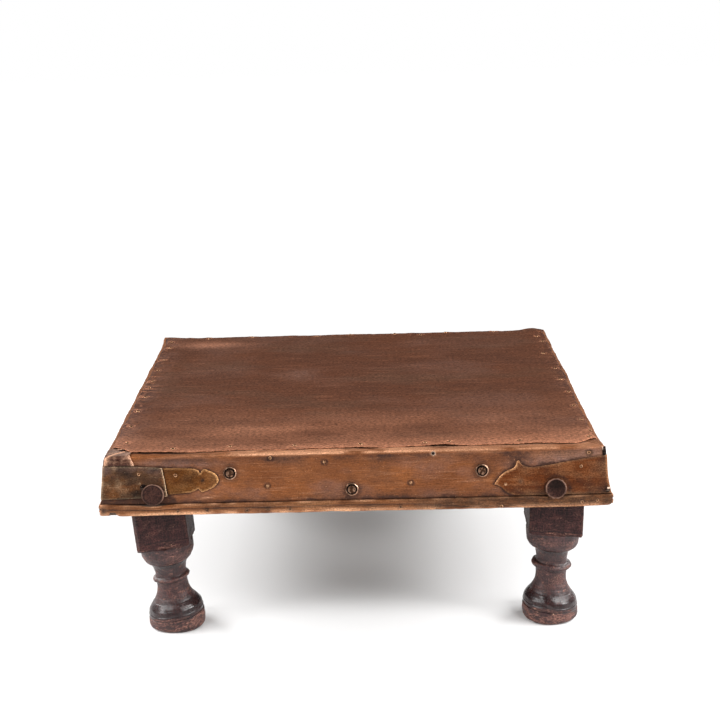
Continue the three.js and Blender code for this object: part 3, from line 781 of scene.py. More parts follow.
def top_sheet():
    """The sheet nailed over the top: rolled down on three edges, raw and lifting in front."""
    half = face_at(FLANGE_TOP) - 1.5
    xs = spread(-half, half, 1.3, 3.0, 34)
    vs = spread(0.0, 2 * half, 1.3, 3.0, 34)

    def point_at(row, column):
        x = xs[column]
        v = vs[row] / (2 * half)
        front = front_edge(x)
        rear = half + 0.9 * cloud(x, 9, 60, 5, 2)
        y = front + (rear - front) * v
        side_wave = 1.6 * cloud(0, y, 48, 6, 3) * smooth_step(abs(x), half - 24, half)
        from_front = y - front
        from_rear = rear - y
        from_side = half - abs(x)
        nearest_edge = min(from_front, from_rear, from_side)
        z = HEIGHT - 0.5
        z += 0.45 * cloud(x, y, 120, 7, 2) + 0.13 * cloud(x, y, 22, 8, 2)
        crumple = smooth_step(nearest_edge, 24, 4)
        z += crumple * (0.6 * cloud(x, y, 13, 9, 2) + 0.28 * cloud(x, y, 5, 10))
        z -= 2.5 * smooth_step(from_side, 5.5, 0.0) + 2.0 * smooth_step(from_rear, 5.0, 0.0)
        wear_and_highlight, grime_and_shade, haze = top_marks(x, y, half, from_front, from_rear, crumple)
        for depth in EDGE_CREASES if x < 0 else []:
            slant = 0.15 * math.sin(depth)
            reach = 24 + 12 * math.sin(depth * 1.7)
            # Each crease is a ridge, rubbed bright with a painted highlight, with a line of painted shade
            # along one side of it.
            ridge = bump(y - depth - slant * from_side, 2.0) * smooth_step(from_side, reach, 6)
            ridge *= smooth_step(from_side, 0.5, 5)
            z += 1.1 * ridge
            wear_and_highlight += 0.55 * ridge
            grime_and_shade += 0.5 * bump(y - depth + 3.4 - slant * from_side, 1.6) * smooth_step(from_side, reach, 6)
        z += edge_rise(x) * smooth_step(from_front, 15, 0) ** 1.4
        for tack_x, tack_y in TOP_TACKS:
            distance = math.hypot(x - tack_x, y - tack_y)
            if distance < 13:
                z += tack_dimple(distance)
                # Round each tack, a painted highlight on the puffed-up ring and painted shade next to the
                # head.
                wear_and_highlight += 0.8 * bump(distance - 4.4, 1.0) * clamp(0.65 + cloud(x, y, 5, 20, 2))
                grime_and_shade += 0.5 * bump(distance - 3.0, 0.8)
        x, y = rounded_plan(x, y, half, rear, 11 if x < 0 else 5)
        return (x + math.copysign(side_wave, x), y, z), (x, y), 1.0, wear_and_highlight, grime_and_shade, haze

    return sheet_piece("top_copper_sheet", len(vs), len(xs), point_at, TOP_COPPER,
                       ["top_sheet"], Vector((0, 0, 1)))


def torn_flap():
    """A scrap of sheet that curls up between the top sheet and the corner cap."""
    columns, rows = 25, 9
    left, right = -270.0, -249.0

    def point_at(row, column):
        u, v = column / (columns - 1), row / (rows - 1)
        x = left + (right - left) * u
        arch = math.sin(math.pi * clamp(u * 1.1 - 0.05)) ** 0.8
        y = -252.0 - 10.5 * u - 5.5 * v + 0.8 * cloud(x, 0, 5, 90, 2)
        z = FLANGE_TOP + 0.9 + 1.9 * arch * (0.35 + 0.65 * v) + 0.25 * cloud(x, v * 6, 4, 91, 2)
        wear_and_highlight = 0.25 + 0.7 * smooth_step(v, 0.8, 1)
        return (x, y, z), (x, y), 92, wear_and_highlight, 0.0, 0.4

    return sheet_piece("torn_flap", rows, columns, point_at, CAP_COPPER, [],
                       Vector((0, 0, 1)), SCRAP_THICKNESS)


def skirt_path():
    corner_out = face_at(FLANGE_TOP)
    corners = [(FLANGE_INNER, FLANGE_TOP), (corner_out, FLANGE_TOP), (SKIRT_FOOT_OUT, SKIRT_FOOT)]
    return rounded_path(corners, [BEND_RADIUS], 1.5)


def front_stains_and_shadows(across, z, out, flange, seed):
    """Wear, dark marks, painted shadows and haze that only the front skirt has, where the photo shows them.
    """
    ragged = cloud(across, z, 14, 31, 3)
    # Painted shadow under the raw edge of the top sheet, wider where the edge has lifted.
    shadow_reach = 1.2 + 1.6 * edge_rise(across)
    grime_and_shade = 1.2 * flange * smooth_step(out + front_edge(across), shadow_reach, 0.2)
    grime_and_shade += 0.22 * bump((across - 60) / 150, 1) * clamp(0.7 + cloud(across, z, 50, seed + 13, 2))
    grime_and_shade += 0.4 * bump(math.hypot(across - 187, (z - 209) * 1.8), 26) * clamp(0.6 + 1.5 * ragged)
    # Painted shadow below the plate, at the left end.
    grime_and_shade += 0.8 * smooth_step(z, 181, 176) * smooth_step(-across, 196, 210)
    wear_and_highlight = 0.10 * bump(z - 217.5, 5) * smooth_step(across, 185, 215)
    wear_and_highlight += 0.5 * bump(z - 178 - 0.12 * (across + 160), 0.8) * bump((across + 166) / 9, 1)
    # A painted shadow line along the upper edge of the strap, with a bloom over it and above it
    above_strap = z - 0.118 * (across - 240) - 210.5 + 2 * ragged
    stain = bump(above_strap, 3.4) * smooth_step(across, 196, 225)
    grime_and_shade += 0.55 * stain * clamp(0.4 + 2 * ragged)
    haze = 0.9 * stain + 0.75 * bump((above_strap - 5) / 6, 1) * smooth_step(across, 150, 190)
    haze += 0.85 * bump(z - 217, 4.6) * bump((across + 196) / 42, 1) * clamp(0.9 + ragged)
    return wear_and_highlight, grime_and_shade, haze


def skirt_marks(side, across, out, z, edge, seed):
    """Wear, painted highlight, dark marks with painted shade, and haze of a skirt, apart from what its
    tacks, screws and holes leave.

    edge is the distance to the corner metal, round which a dark line of painted shadow is drawn.
    """
    below_bend = FLANGE_TOP - z
    on_face = smooth_step(below_bend, 1.0, 9.0)
    flange = smooth_step(below_bend, 3.2, 1.6)
    wear_and_highlight = 0.12 * flange
    if side == "front":
        # On the front the flange is rubbed bright and the top of the bend gets a painted highlight.
        wear_and_highlight = 0.24 * flange + 0.5 * bump(below_bend - 1.0, 1.2)
        wear_and_highlight *= 1.2 * smooth_step(across, -225, -105) * (1 - 0.5 * smooth_step(across, -20, 180))
    wear_and_highlight *= clamp(0.8 + 1.2 * cloud(across, out * 3, 26, seed + 5, 3))
    at_foot = smooth_step(z, SKIRT_FOOT + 6, SKIRT_FOOT)
    grime_and_shade = 0.7 * at_foot * clamp(0.6 + cloud(across, z, 24, seed + 12, 3))
    grime_and_shade += 0.28 * smooth_step(z, SKIRT_FOOT + 15, SKIRT_FOOT + 4)
    # Painted shade in a band just below the bend.
    under = smooth_step(below_bend, 2.6, 4.4) * smooth_step(below_bend, 17, 5)
    grime_and_shade += 0.62 * under * clamp(0.65 + 1.3 * cloud(across, z, 55, seed + 6, 3))
    grime_and_shade += 0.5 * flange * (side != "front")
    grime_and_shade += 0.22 * on_face * clamp(1.5 * cloud(across, z * 1.6, 40, seed + 7, 3))
    # Painted shadow round the corner metal.
    grime_and_shade += 0.85 * bump(edge, 1.5)
    grime_and_shade += 0.3 * bump(edge, 5) * clamp(0.5 + cloud(across, z, 12, seed + 8, 2))
    haze = 0.4 * on_face * clamp(1.7 * cloud(across, z * 2.2, 60, seed + 10, 3) - 0.1)
    if side == "front":
        more_worn, more_grime_and_shade, more_haze = front_stains_and_shadows(across, z, out, flange, seed)
        return wear_and_highlight + more_worn, grime_and_shade + more_grime_and_shade, haze + more_haze
    return wear_and_highlight, grime_and_shade, haze


def skirt(side, seed):
    """Copper skirt of one side: a flange under the top sheet, a soft bend and the sloping face."""
    path = skirt_path()
    normals = path_normals(path)
    lengths = path_lengths(path)
    columns = spread(-1.0, 1.0, 0.005, 0.006, 0.06)
    seam = nearest(metal_edges(side))
    presses = [(place, 9.5, 0.4) for place in SCREWS[side].values()]
    if side in ("front", "rear"):
        presses += [(place, 15.0, 0.6) for place in STUDS.values()]

    def point_at(row, column):
        out, z = path[row]
        normal = normals[row]
        t = columns[column]
        across = t * (out - 0.2)
        below_bend = FLANGE_TOP - z
        on_face = smooth_step(below_bend, 1.0, 9.0)
        near_bend = bump(below_bend - 1.5, 3.4)
        if side == "front":
            gap = smooth_step(z, 212, 215) * smooth_step(z, 225.5, 224)
            across -= 3.0 * gap * smooth_step(t, 0.93, 0.98)
        sway = 0.5 * cloud(across, z * 1.3, 75, seed, 3) + 0.2 * cloud(across, z, 17, seed + 2, 2)
        buckle = 0.8 * cloud(across, 0, 38, seed + 3, 3) + 0.3 * cloud(across, 0, 9, seed + 4)
        lift = on_face * sway + near_bend * buckle
        lift -= 1.0 * bump(below_bend - 8.5, 2.6) * clamp(0.5 + 1.2 * cloud(across, 0, 60, seed + 9, 2))
        lift += 0.6 * on_face * smooth_step(z, SKIRT_FOOT + 7, SKIRT_FOOT)
        wear_and_highlight, grime_and_shade, haze = skirt_marks(side, across, out, z, seam(across, z), seed)
        for place, radius, depth in presses:
            distance = math.dist((across, z), place)
            lift -= depth * bump(distance, radius)
            grime_and_shade += 0.35 * bump(distance - radius, 2.2)
        for place in FACE_TACKS[side]:
            distance = math.dist((across, z), place)
            if distance < 13:
                lift += 0.5 * tack_dimple(distance)
                # Painted shadow on either side of each tack.
                beside = clamp(0.35 + abs(across - place[0]) / 4)
                grime_and_shade += 0.95 * bump(distance - 3.0, 1.1) * beside
        for place in FACE_HOLES[side]:
            distance = math.dist((across, z), place)
            # Each hole is painted black as shade, with a bright burr round it.
            grime_and_shade += 1.5 * smooth_step(distance, 2.0, 1.1)
            wear_and_highlight += 0.7 * bump(distance - 2.6, 0.7)
        point = Vector((across, -out - normal.x * lift, z + normal.y * lift))
        return point, (across, lengths[row]), seed, wear_and_highlight, grime_and_shade, haze

    return sheet_piece(f"skirt_sheet_{side}", len(path), len(columns), point_at, SIDE_COPPER,
                       [f"skirt_{side}"], outward_of(side) + Vector((0, 0, 0.3)),
                       side=side)


def corner_shadow_strip():
    """A black strip set like the edge of the right-hand skirt folded round behind the front one; it stands
    for the deep shade in the gap at that corner.
    """
    columns, rows = 15, 11

    def point_at(row, column):
        s = -3.0 + 6.8 * column / (columns - 1)
        z = 213.5 + 12.0 * row / (rows - 1)
        wear_and_highlight = smooth_step(s, 2.6, 3.4) * smooth_step(z, 221, 224)
        return round_corner(s, z, 0.7), (s, z), 95, wear_and_highlight

    return sheet_piece("corner_shadow_strip", rows, columns, point_at, SHADOW_BLACK, [],
                       Vector((1, -1, 0)), SCRAP_THICKNESS)


def corner_scrap():
    """A scrap of the skirt's foot that has torn loose above the right end of the front lip, made black for
    the shade in the gap behind it, with a bright torn edge.
    """
    columns, rows = 13, 9

    def point_at(row, column):
        u, v = column / (columns - 1), row / (rows - 1)
        s = -7.5 + 13.5 * u
        curl = 3.4 * smooth_step(u, 0.45, 1.0)
        z = LIP_TOP + 1.2 + (5.5 + 2.5 * u) * v + 0.5 * cloud(s, v * 7, 4, 96, 2)
        wear_and_highlight = smooth_step(v, 0.6, 0.9) * smooth_step(u, 0.35, 0.6)
        return round_corner(s, z, 1.2 + curl * v), (s, z), 97, wear_and_highlight

    return sheet_piece("corner_scrap", rows, columns, point_at, SHADOW_BLACK, [],
                       Vector((1, -1, 0)), SCRAP_THICKNESS)


def lip_path(groove_z, groove_depth):
    """Section of the lip: ledge, upper bead, groove, lower bead and the fold under."""
    corners = [
        (LIP_OUT - 8.5, LIP_TOP - 0.2), (LIP_OUT - 0.4, LIP_TOP), (LIP_OUT + 0.1, groove_z + 1.4),
        (LIP_OUT - groove_depth, groove_z), (LIP_OUT, groove_z - 1.3), (LIP_OUT - 0.2, LIP_BOTTOM),
        (LIP_OUT - 8.0, LIP_BOTTOM + 0.3),
    ]
    return corners, [1.5, 1.2, 0.6, 1.0, 1.8]


def groove_height(section):
    """Height of the groove in one section of the lip, which is about 1 mm deep."""
    below_upper_bead = [point for point in section if point.y <= 169]
    return min(below_upper_bead, key=lambda point: abs(point.x - LIP_OUT + 1.0)).y


def rounded_end(across, out, radius=5.0):
    """Bends the ends of a lip into a rounded mitre."""
    centre = LIP_OUT - radius
    beyond = abs(across) - centre
    if beyond <= 0 or out <= centre:
        return across, out
    angle = beyond / radius * math.pi / 4
    reach = out - centre
    return math.copysign(centre + reach * math.sin(angle), across), centre + reach * math.cos(angle)


def lip_marks(side, t, across, out, z, groove_z, seed):
    """Wear, painted highlight, dark marks with painted shade, and haze of a lip, apart from its tacks and
    torn end.
    """
    # A painted highlight along the top edge.
    edge = bump(z - LIP_TOP, 1.3) * smooth_step(out, LIP_OUT - 6, LIP_OUT - 1)
    wear_and_highlight = 0.7 * edge * clamp(0.35 + 1.3 * cloud(across, 0, 22, seed + 3, 3))
    wear_and_highlight += 1.0 * bump(z - LIP_BOTTOM - 1.6, 2.6) * clamp(0.6 + cloud(across, 0, 30, seed + 4, 3))
    wear_and_highlight += 0.16 * clamp(1.8 * cloud(across * 0.3, z * 4, 9, seed + 5, 3))
    grime_and_shade = 0.65 * bump(z - groove_z, 1.0) + 0.3 * clamp(1.5 * cloud(across, z * 3, 40, seed + 6, 3))
    # Painted shade on the ledge under the foot of the skirt.
    grime_and_shade += 0.9 * smooth_step(out, LIP_OUT - 1.6, LIP_OUT - 4) * smooth_step(z, LIP_TOP - 3, LIP_TOP)
    haze = 0.0
    if side == "front":
        plain = smooth_step(t, 0.05, 0.4)
        haze = 0.95 * plain * smooth_step(z, 159.2, 160.6)
        wear_and_highlight *= 1 - 0.55 * plain
    return wear_and_highlight, grime_and_shade, haze


def torn_end(side, t):
    """How near a point is to the torn front left end of the lip, and how much is cut away there."""
    if side == "front":
        cut_away = smooth_step(-t, 0.925, 0.935) * smooth_step(-t, 0.966, 0.958)
        return smooth_step(-t, 0.90, 0.985), cut_away
    if side == "left":
        return smooth_step(t, 0.975, 0.995), 1.0
    return 0.0, 0.0


def lip(side, seed):
    """Copper sheet pressed round the wooden lip of one side."""
    columns = spread(-1.0, 1.0, 0.0035, 0.006, 0.07)
    sections = []
    for t in columns:
        drop = 5.2 * smooth_step(t, 0.2, 0.5) if side == "front" else 0.8 * cloud(t * 290, 0, 120, seed)
        corners, radii = lip_path(165.3 - drop, 1.3)
        sections.append(rounded_path(corners, radii, 0.8))
    rows = max(len(section) for section in sections)
    sections = [resample(section, rows) for section in sections]
    normals = [path_normals(section) for section in sections]
    grooves = [groove_height(section) for section in sections]

    def point_at(row, column):
        out, z = sections[column][row]
        normal = normals[column][row]
        t = columns[column]
        across = t * (out - 0.2)
        lift = 0.40 * cloud(across, z, 34, seed, 3) + 0.16 * cloud(across, z, 8, seed + 1, 2)
        sag = 0.6 * cloud(across, 0, 90, seed + 2, 2)
        if side in ("front", "rear"):
            for stud_across, stud_z in STUDS.values():
                reach = 1.2 if stud_z < 182 else 2.0
                sag -= reach * bump(across - stud_across, 18) * smooth_step(z, LIP_BOTTOM, LIP_TOP)
        wear_and_highlight, grime_and_shade, haze = lip_marks(side, t, across, out, z, grooves[column], seed)
        for place in LIP_TACKS[side]:
            grime_and_shade += 0.8 * bump(math.dist((across, z), place), 2.6)
        at_torn_end, cut_away = torn_end(side, t)
        if at_torn_end > 0:
            floor_z = LIP_BOTTOM + 4.4 * cut_away
            if z < floor_z:
                z = floor_z + 0.1 * (z - LIP_BOTTOM)
                lift = 0.0
            sag += 0.9 * at_torn_end
            if side == "front":
                # The curl at the torn end is painted dark inside as shade.
                curl = bump((across + 284.5) / 3.6, 1) * bump((z - 164) / 4.5, 1)
                grime_and_shade += 1.1 * curl
                wear_and_highlight = wear_and_highlight * 0.4 + 0.25 * smooth_step(-t, 0.955, 0.985) * (1 - curl)
                grime_and_shade += 0.35 * at_torn_end * clamp(0.5 + 1.5 * cloud(across, z * 1.5, 11, seed + 7, 3))
        right_end = t if side == "front" else -t if side == "right" else 0.0
        past = clamp((right_end - 0.975) / 0.025, 0.0, 0.97)
        sag += 4.2 * (1 - math.sqrt(1 - past ** 2)) * smooth_step(z, LIP_TOP - 2, LIP_BOTTOM)
        # Painted shade low on the rounded right end.
        grime_and_shade += 0.5 * past * smooth_step(z, LIP_BOTTOM + 7, LIP_BOTTOM + 2)
        across, out = rounded_end(across, out)
        point = Vector((across, -out - normal.x * lift, z + normal.y * lift + sag))
        return point, (across, row / (rows - 1) * 36), seed, wear_and_highlight, grime_and_shade, haze

    return sheet_piece(f"lip_copper_{side}", rows, len(columns), point_at, LIP_COPPER,
                       [f"lip_sheet_{side}"], outward_of(side), side=side)


def resample(path, count):
    """The same path with count evenly spaced points."""
    lengths = path_lengths(path)
    result = []
    index = 0
    for i in range(count):
        target = lengths[-1] * i / (count - 1)
        while index < len(lengths) - 2 and lengths[index + 1] < target:
            index += 1
        span = lengths[index + 1] - lengths[index]
        t = clamp((target - lengths[index]) / span) if span > 0 else 0.0
        result.append(path[index].lerp(path[index + 1], t))
    return result


# ---- Corner straps ----


def pattern_mesh(outline, distance, spacing):
    """Triangles that fill an outline, fine enough to bend round a corner."""
    points = [Vector(point) for point in outline]
    count = len(points)
    inset = []
    for i, point in enumerate(points):
        along = (points[(i + 1) % count] - points[i - 1]).normalized()
        inset.append(point + Vector((-along.y, along.x)) * 0.7)
    low = Vector((min(p.x for p in points), min(p.y for p in points)))
    high = Vector((max(p.x for p in points), max(p.y for p in points)))
    fill = []
    for i in range(int((high.x - low.x) / spacing)):
        for j in range(int((high.y - low.y) / spacing)):
            spot = low + Vector((i + 0.5 + 0.5 * (j % 2), j + 0.5)) * spacing
            if distance(spot.x, spot.y) > spacing * 0.6 + 0.4:
                fill.append(spot)
    edges = [(i, (i + 1) % count) for i in range(count)]
    verts, _, faces, _, _, _ = geometry.delaunay_2d_cdt(points + inset + fill, edges, [], 1, 1e-5)
    return verts, faces


def round_corner(s, z, lift):
    """Place at distance s past the right-hand corner of the front, wrapped round it."""
    out = face_at(z) + lift
    arc = CORNER_RADIUS * math.pi / 4
    centre = out - CORNER_RADIUS
    if abs(s) <= arc:
        angle = -math.pi / 4 - s / CORNER_RADIUS
        return Vector((centre + CORNER_RADIUS * math.cos(angle),
                       -centre + CORNER_RADIUS * math.sin(angle), z))
    if s > 0:
        return Vector((centre - (s - arc), -out, z))
    return Vector((out, -centre - s - arc, z))


def corner_plate(name, side, outline, seed, material, stands_for, lift, thickness, flaws):
    """A flat plate bent round the right-hand corner of a side.

    flaws(s, z, margin) returns (extra lift, worn, grime, haze), where margin is the
    distance in from the edge.
    """
    outline = fill_outline(outline, 1.6)
    distance = nearest(fill_outline(outline, 0.25))
    verts, faces = pattern_mesh(outline, distance, 1.9)
    shape = Shape()
    for vert in verts:
        s, z = vert
        margin = distance(s, z)
        extra, wear_and_highlight, grime_and_shade, haze = flaws(s, z, margin)
        rounding = 0.5 * (1 - clamp(margin / 0.7)) ** 2
        wave = 0.30 * cloud(s, z, 30, seed, 3) + 0.18 * cloud(s, z, 9, seed + 1, 2)
        place = round_corner(s, z, lift + extra + wave - rounding)
        wear_and_highlight += 0.3 * bump(s, 1.6)
        grime_and_shade += 0.3 * clamp(1.6 * cloud(s, z, 16, seed + 2, 3))
        shape.add(place, (s, z), seed, wear_and_highlight, grime_and_shade, haze)
    shape.faces = [tuple(face) for face in faces]
    shape.turn(turned_to(side))
    corner_outward = turned_to(side) @ Vector((1, -1, 0))
    plate = shape.build(name, material, stands_for, corner_outward)
    return thicken(plate, thickness)


def rim(margin):
    """How near a point is to a cut edge, from 0 to 1."""
    return 1 - smooth_step(margin, 0.2, 1.3)


def strap(side, name, seed):
    """A brass strap with ogee ends that wraps the right-hand corner of a side."""

    def flaws(s, z, margin):
        on_tip = smooth_step(abs(s), 93, 101)
        upper = smooth_step(z, 182, 188)
        wear_and_highlight = rim(margin) * (0.18 + 0.75 * on_tip * upper)
        wear_and_highlight += 0.10 * clamp(0.3 + 1.7 * cloud(s, z * 2.4, 26, seed + 6, 3))
        lift = -0.4 * bump(math.hypot(abs(s) - 56.7, z - 180), 15)
        grime_and_shade = 1.1 * bump(math.hypot(abs(s) - 97.9, z - 188), 2.8)
        grime_and_shade += 0.75 * bump(z - SKIRT_FOOT, 4) * clamp(0.6 + cloud(s, z, 20, seed + 5, 2))
        # A ring of painted shadow round the stud.
        grime_and_shade += 0.6 * bump(math.hypot(abs(s) - 56.7, z - 180) - 13.5, 2.5)
        grime_and_shade += 0.5 * rim(margin) * (1 - on_tip)
        grime_and_shade += 0.55 * smooth_step(abs(s), 16, 3) * smooth_step(abs(s), 1.0, 2.4)
        grime_and_shade += 0.3 * smooth_step(z, 188, 176)
        haze = 0.5 * clamp(2 * cloud(s, z * 2, 30, seed + 7, 3))
        return lift, wear_and_highlight, grime_and_shade, haze

    return corner_plate(f"ogee_strap_{name}", side, strap_outline(), seed, STRAP_BRASS,
                        [f"strap_{name}"], STRAP_LIFT, STRAP_THICKNESS, flaws)


def patch_plate():
    """The bronze plate that wraps the front left corner. The front is at negative distances."""

    def flaws(s, z, margin):
        slant = s + 0.259 * (z - 212.8)
        ends = smooth_step(-slant, 64.5, 66.5) + smooth_step(s, 66.6, 69.5)
        lift = 1.0 * smooth_step(-slant, 58, 67) + 0.5 * smooth_step(s, 62, 70)
        lift += 0.8 * smooth_step(z, 182, 178) * smooth_step(-s, 10, 40)
        wear_and_highlight = ends * smooth_step(margin, 0.7, 0.1) + 0.2 * rim(margin)
        rubbed_part = smooth_step(-s, 50, 2) * smooth_step(z, 176, 196)
        wear_and_highlight += 0.30 * clamp(1.8 * cloud(s, z, 17, 61, 3)) * rubbed_part
        hole = math.hypot(s + 47.4, z - 190.9)
        # The hole is painted black as shade, and the edges, apart from the raised ends, get a painted dark
        # line as shadow.
        grime_and_shade = 1.5 * smooth_step(hole, 3.6, 2.4) + 0.45 * rim(margin) * (1 - ends)
        stain = clamp(0.4 + 1.8 * cloud(s, z, 20, 62, 3)) + 0.5 * smooth_step(z, 194, 180)
        grime_and_shade += 0.36 * stain * smooth_step(hole, 2.4, 4)
        lift -= 0.5 * smooth_step(hole, 3.4, 2.2)
        haze = smooth_step(z, 196, 214) * clamp(0.5 + 1.5 * cloud(s, z * 1.5, 18, 63, 3))
        return lift, wear_and_highlight, grime_and_shade, haze

    return corner_plate("patch_plate", "left", plate_outline(), 60, PLATE_BRONZE,
                        ["corner_plate"], STRAP_LIFT, STRAP_THICKNESS, flaws)


def patch_tongue():
    """The barbed brass tongue beside the plate, on the front only."""
    corner = face_at(195)

    def flaws(s, z, margin):
        across = -corner - s
        wear_and_highlight = rim(margin) * (0.3 + 0.6 * smooth_step(across, -196, -170))
        wear_and_highlight += 0.1 * clamp(0.3 + 1.8 * cloud(s * 0.6, z, 14, 71, 3))
        grime_and_shade = 1.2 * bump(math.hypot(across + 170.5, z - 197.5), 2.6)
        grime_and_shade += 0.35 * smooth_step(margin, 3.2, 1.2) * smooth_step(margin, 0.4, 1.2)
        wear_and_highlight *= smooth_step(across + 0.286 * (z - 181.6), -208, -205)
        haze = 0.35 * smooth_step(across, -184, -166)
        return 0.3 * cloud(s, z, 18, 72, 2) - 0.1, wear_and_highlight, grime_and_shade, haze

    return corner_plate("patch_tongue", "left", tongue_outline(), 70, TONGUE_BRASS,
                        ["plate_tongue"], STRAP_LIFT - 0.2, STRAP_THICKNESS - 0.2, flaws)


def corner_cap():
    """The copper cap folded over the front left corner, above the plate."""
    lift = 1.6
    corners = [(262, FLANGE_TOP + 0.5), (face_at(FLANGE_TOP) + 0.6, FLANGE_TOP + lift * 0.6),
               (face_at(216) + lift, 215.9)]
    path = rounded_path(corners, [6.0], 1.0)
    normals = path_normals(path)
    steps = 34
    rows = len(path)
    radius = 3.2

    def point_at(row, column):
        out, z = path[row]
        leg = 1 if column >= steps else -1
        t = (abs(column - steps) / steps) ** 1.25
        height = clamp((z - 216) / 11)
        end = 247.6 + 5.0 * height + 0.5 * cloud(z, leg, 7, 80)
        along = out - (out - end) * t
        from_corner = out - along
        crushed = 0.6 * cloud(along * leg, z, 14, 81, 3) + 0.35 * cloud(along * leg, z, 5, 82, 2)
        crushed += 0.7 * smooth_step(t, 0.80, 0.95) * (leg < 0)
        reach = out + normals[row].x * crushed
        z_here = z + normals[row].y * crushed
        if from_corner < radius:
            angle = (1 - from_corner / radius) * math.pi / 4
            along = out - radius + radius * math.sin(angle)
            reach -= radius * (1 - math.cos(angle))
        x, y = (-along, -reach) if leg < 0 else (-reach, -along)
        edge = smooth_step(t, 0.86, 0.96)
        on_bend = bump(z - FLANGE_TOP + 1.5, 3.0)
        # A painted highlight on the front of the corner bend.
        wear_and_highlight = 0.9 * bump(from_corner - 2.6, 2.6) * smooth_step(z, 214, 219) * (leg < 0)
        wear_and_highlight += 0.7 * edge * smooth_step(z, FLANGE_TOP + 1, FLANGE_TOP - 1)
        # Painted highlights on the bend over the top.
        wear_and_highlight += 0.35 * on_bend * clamp(0.1 + 1.8 * cloud(along, z, 6, 83, 2))
        wear_and_highlight += 0.2 * clamp(2.2 * cloud(along * leg, z, 5, 85, 2)) * (1 - on_bend)
        grime_and_shade = 0.6 * clamp(0.5 + 1.6 * cloud(along * leg, z * 1.5, 14, 84, 3)) * (1 - on_bend)
        # Painted shadow on the left-hand part near the corner, along the foot of the cap where it meets the
        # plate, and under the raw edge of the top sheet.
        grime_and_shade += 0.95 * smooth_step(from_corner, 0.8, 2.0) * smooth_step(z, 223, 220) * (leg > 0)
        grime_and_shade += 0.8 * smooth_step(z, 217.2, 216.2)
        in_front = -y + front_edge(x)
        grime_and_shade += 1.5 * smooth_step(in_front, 1.5 + 1.5 * edge_rise(x), 0.5) * smooth_step(z, 225, 226.5)
        haze = 0.85 * smooth_step(out, face_at(FLANGE_TOP) - 1, face_at(FLANGE_TOP) - 4)
        return (x, y, z_here), (along * leg, row * 1.0), 80, wear_and_highlight, grime_and_shade, haze

    return sheet_piece("corner_cap_sheet", rows, 2 * steps + 1, point_at, CAP_COPPER,
                       ["corner_cap"], Vector((-1, -1, 1)))


# ---- Fasteners ----


def face_frame(side, place, lift=0.0):
    """Frame on a side's sloping face: Z outwards, X along the side."""
    across, z = place
    tilt = Matrix.Rotation(math.pi / 2 - FLARE, 4, "X")
    out = face_at(z) + lift * math.cos(FLARE)
    here = Matrix.Translation((across, -out, z + lift * math.sin(FLARE)))
    return Matrix.Rotation(SIDES[side], 4, "Z") @ here @ tilt


def lathe(shape, profile, segments, place, distort=None, marks=None, seed=0.0):
    """Turns (radius, height) points about Z and puts them at place. The ends are closed."""
    rows = len(profile)

    def point_at(row, column):
        radius, height = profile[row]
        angle = 2 * math.pi * column / segments
        radius, height = distort(radius, height, angle) if distort else (radius, height)
        local = Vector((radius * math.cos(angle), radius * math.sin(angle), height))
        wear_and_highlight, grime_and_shade = marks(radius, height, angle) if marks else (0.0, 0.0)
        return place @ local, (local.x + height, local.y), seed, wear_and_highlight, grime_and_shade

    start = shape.grid(rows, segments, point_at, wrap=True)
    shape.cap(range(start, start + segments))
    shape.cap(range(start + (rows - 1) * segments, start + rows * segments))


def stud(side, end, seed):
    """A big forged stud. The left one is a flat disc, the right one is dished."""
    place = face_frame(side, STUDS[end], STRAP_LIFT)
    wide = STUD_RADIUS[end]
    dished = end == "right"
    if dished:
        outer = [(4, 0.0), (wide - 2.5, 0.2), (wide - 0.6, 2.0), (wide, 3.8), (wide - 0.4, 4.8),
                 (wide - 1.3, 4.9), (wide - 2.4, 3.6), (wide - 4.2, 2.2), (wide / 2.2, 1.3), (0.3, 1.2)]
    else:
        outer = [(4, 0.0), (wide - 0.8, 0.4), (wide, 1.6), (wide - 0.1, 2.6), (wide - 0.8, 3.4),
                 (wide - 1.6, 3.3), (wide - 2.3, 2.8), (wide / 1.6, 3.0), (wide / 3, 3.2), (0.3, 3.2)]
    profile = resample([Vector(p) for p in outer], 40)
    scallops = 13

    def distort(radius, height, angle):
        x, y = radius * math.cos(angle), radius * math.sin(angle)
        outer_part = smooth_step(radius, wide - 4, wide)
        ragged = 0.35 * cloud(x, y, 6, seed, 3)
        if dished:
            ragged += 0.38 * math.cos(scallops * angle + 1.2 * math.sin(angle))
        oval = 1 - 0.05 * math.sin(angle) ** 2 * outer_part
        hammered = 0.42 * cloud(x, y, 4.5, seed + 1, 3) * smooth_step(height, 0.5, 1.5)
        return (radius + outer_part * ragged) * oval, height + hammered

    def marks(radius, height, angle):
        # The crest gets a painted highlight, on the flat stud mostly towards its upper right; the dished
        # stud is painted darker inside its cup, most at the top, as shade, and both are painted dark at the
        # foot as shadow.
        crest = bump(radius - wide + 0.9, 0.75) * smooth_step(height, 2.0, 3.2)
        if dished:
            wear_and_highlight = crest * (0.7 + 0.3 * math.sin(angle * 3))
            grime_and_shade = 0.75 * smooth_step(radius, wide - 1.5, wide - 3.5) * (0.6 + 0.4 * math.sin(angle))
        else:
            wear_and_highlight = crest * (0.25 + 0.75 * smooth_step(math.cos(angle - 0.9), -0.3, 0.8))
            grime_and_shade = 0.6 * bump(radius - wide + 2.3, 0.7)
        grime_and_shade += 0.8 * smooth_step(height, 1.6, 0.2)
        return wear_and_highlight, grime_and_shade

    shape = Shape()
    lathe(shape, profile, 72, place, distort, marks, seed)
    return shape.build(f"iron_stud_{side}_{end}", IRON, [f"stud_{side}_{end}"])


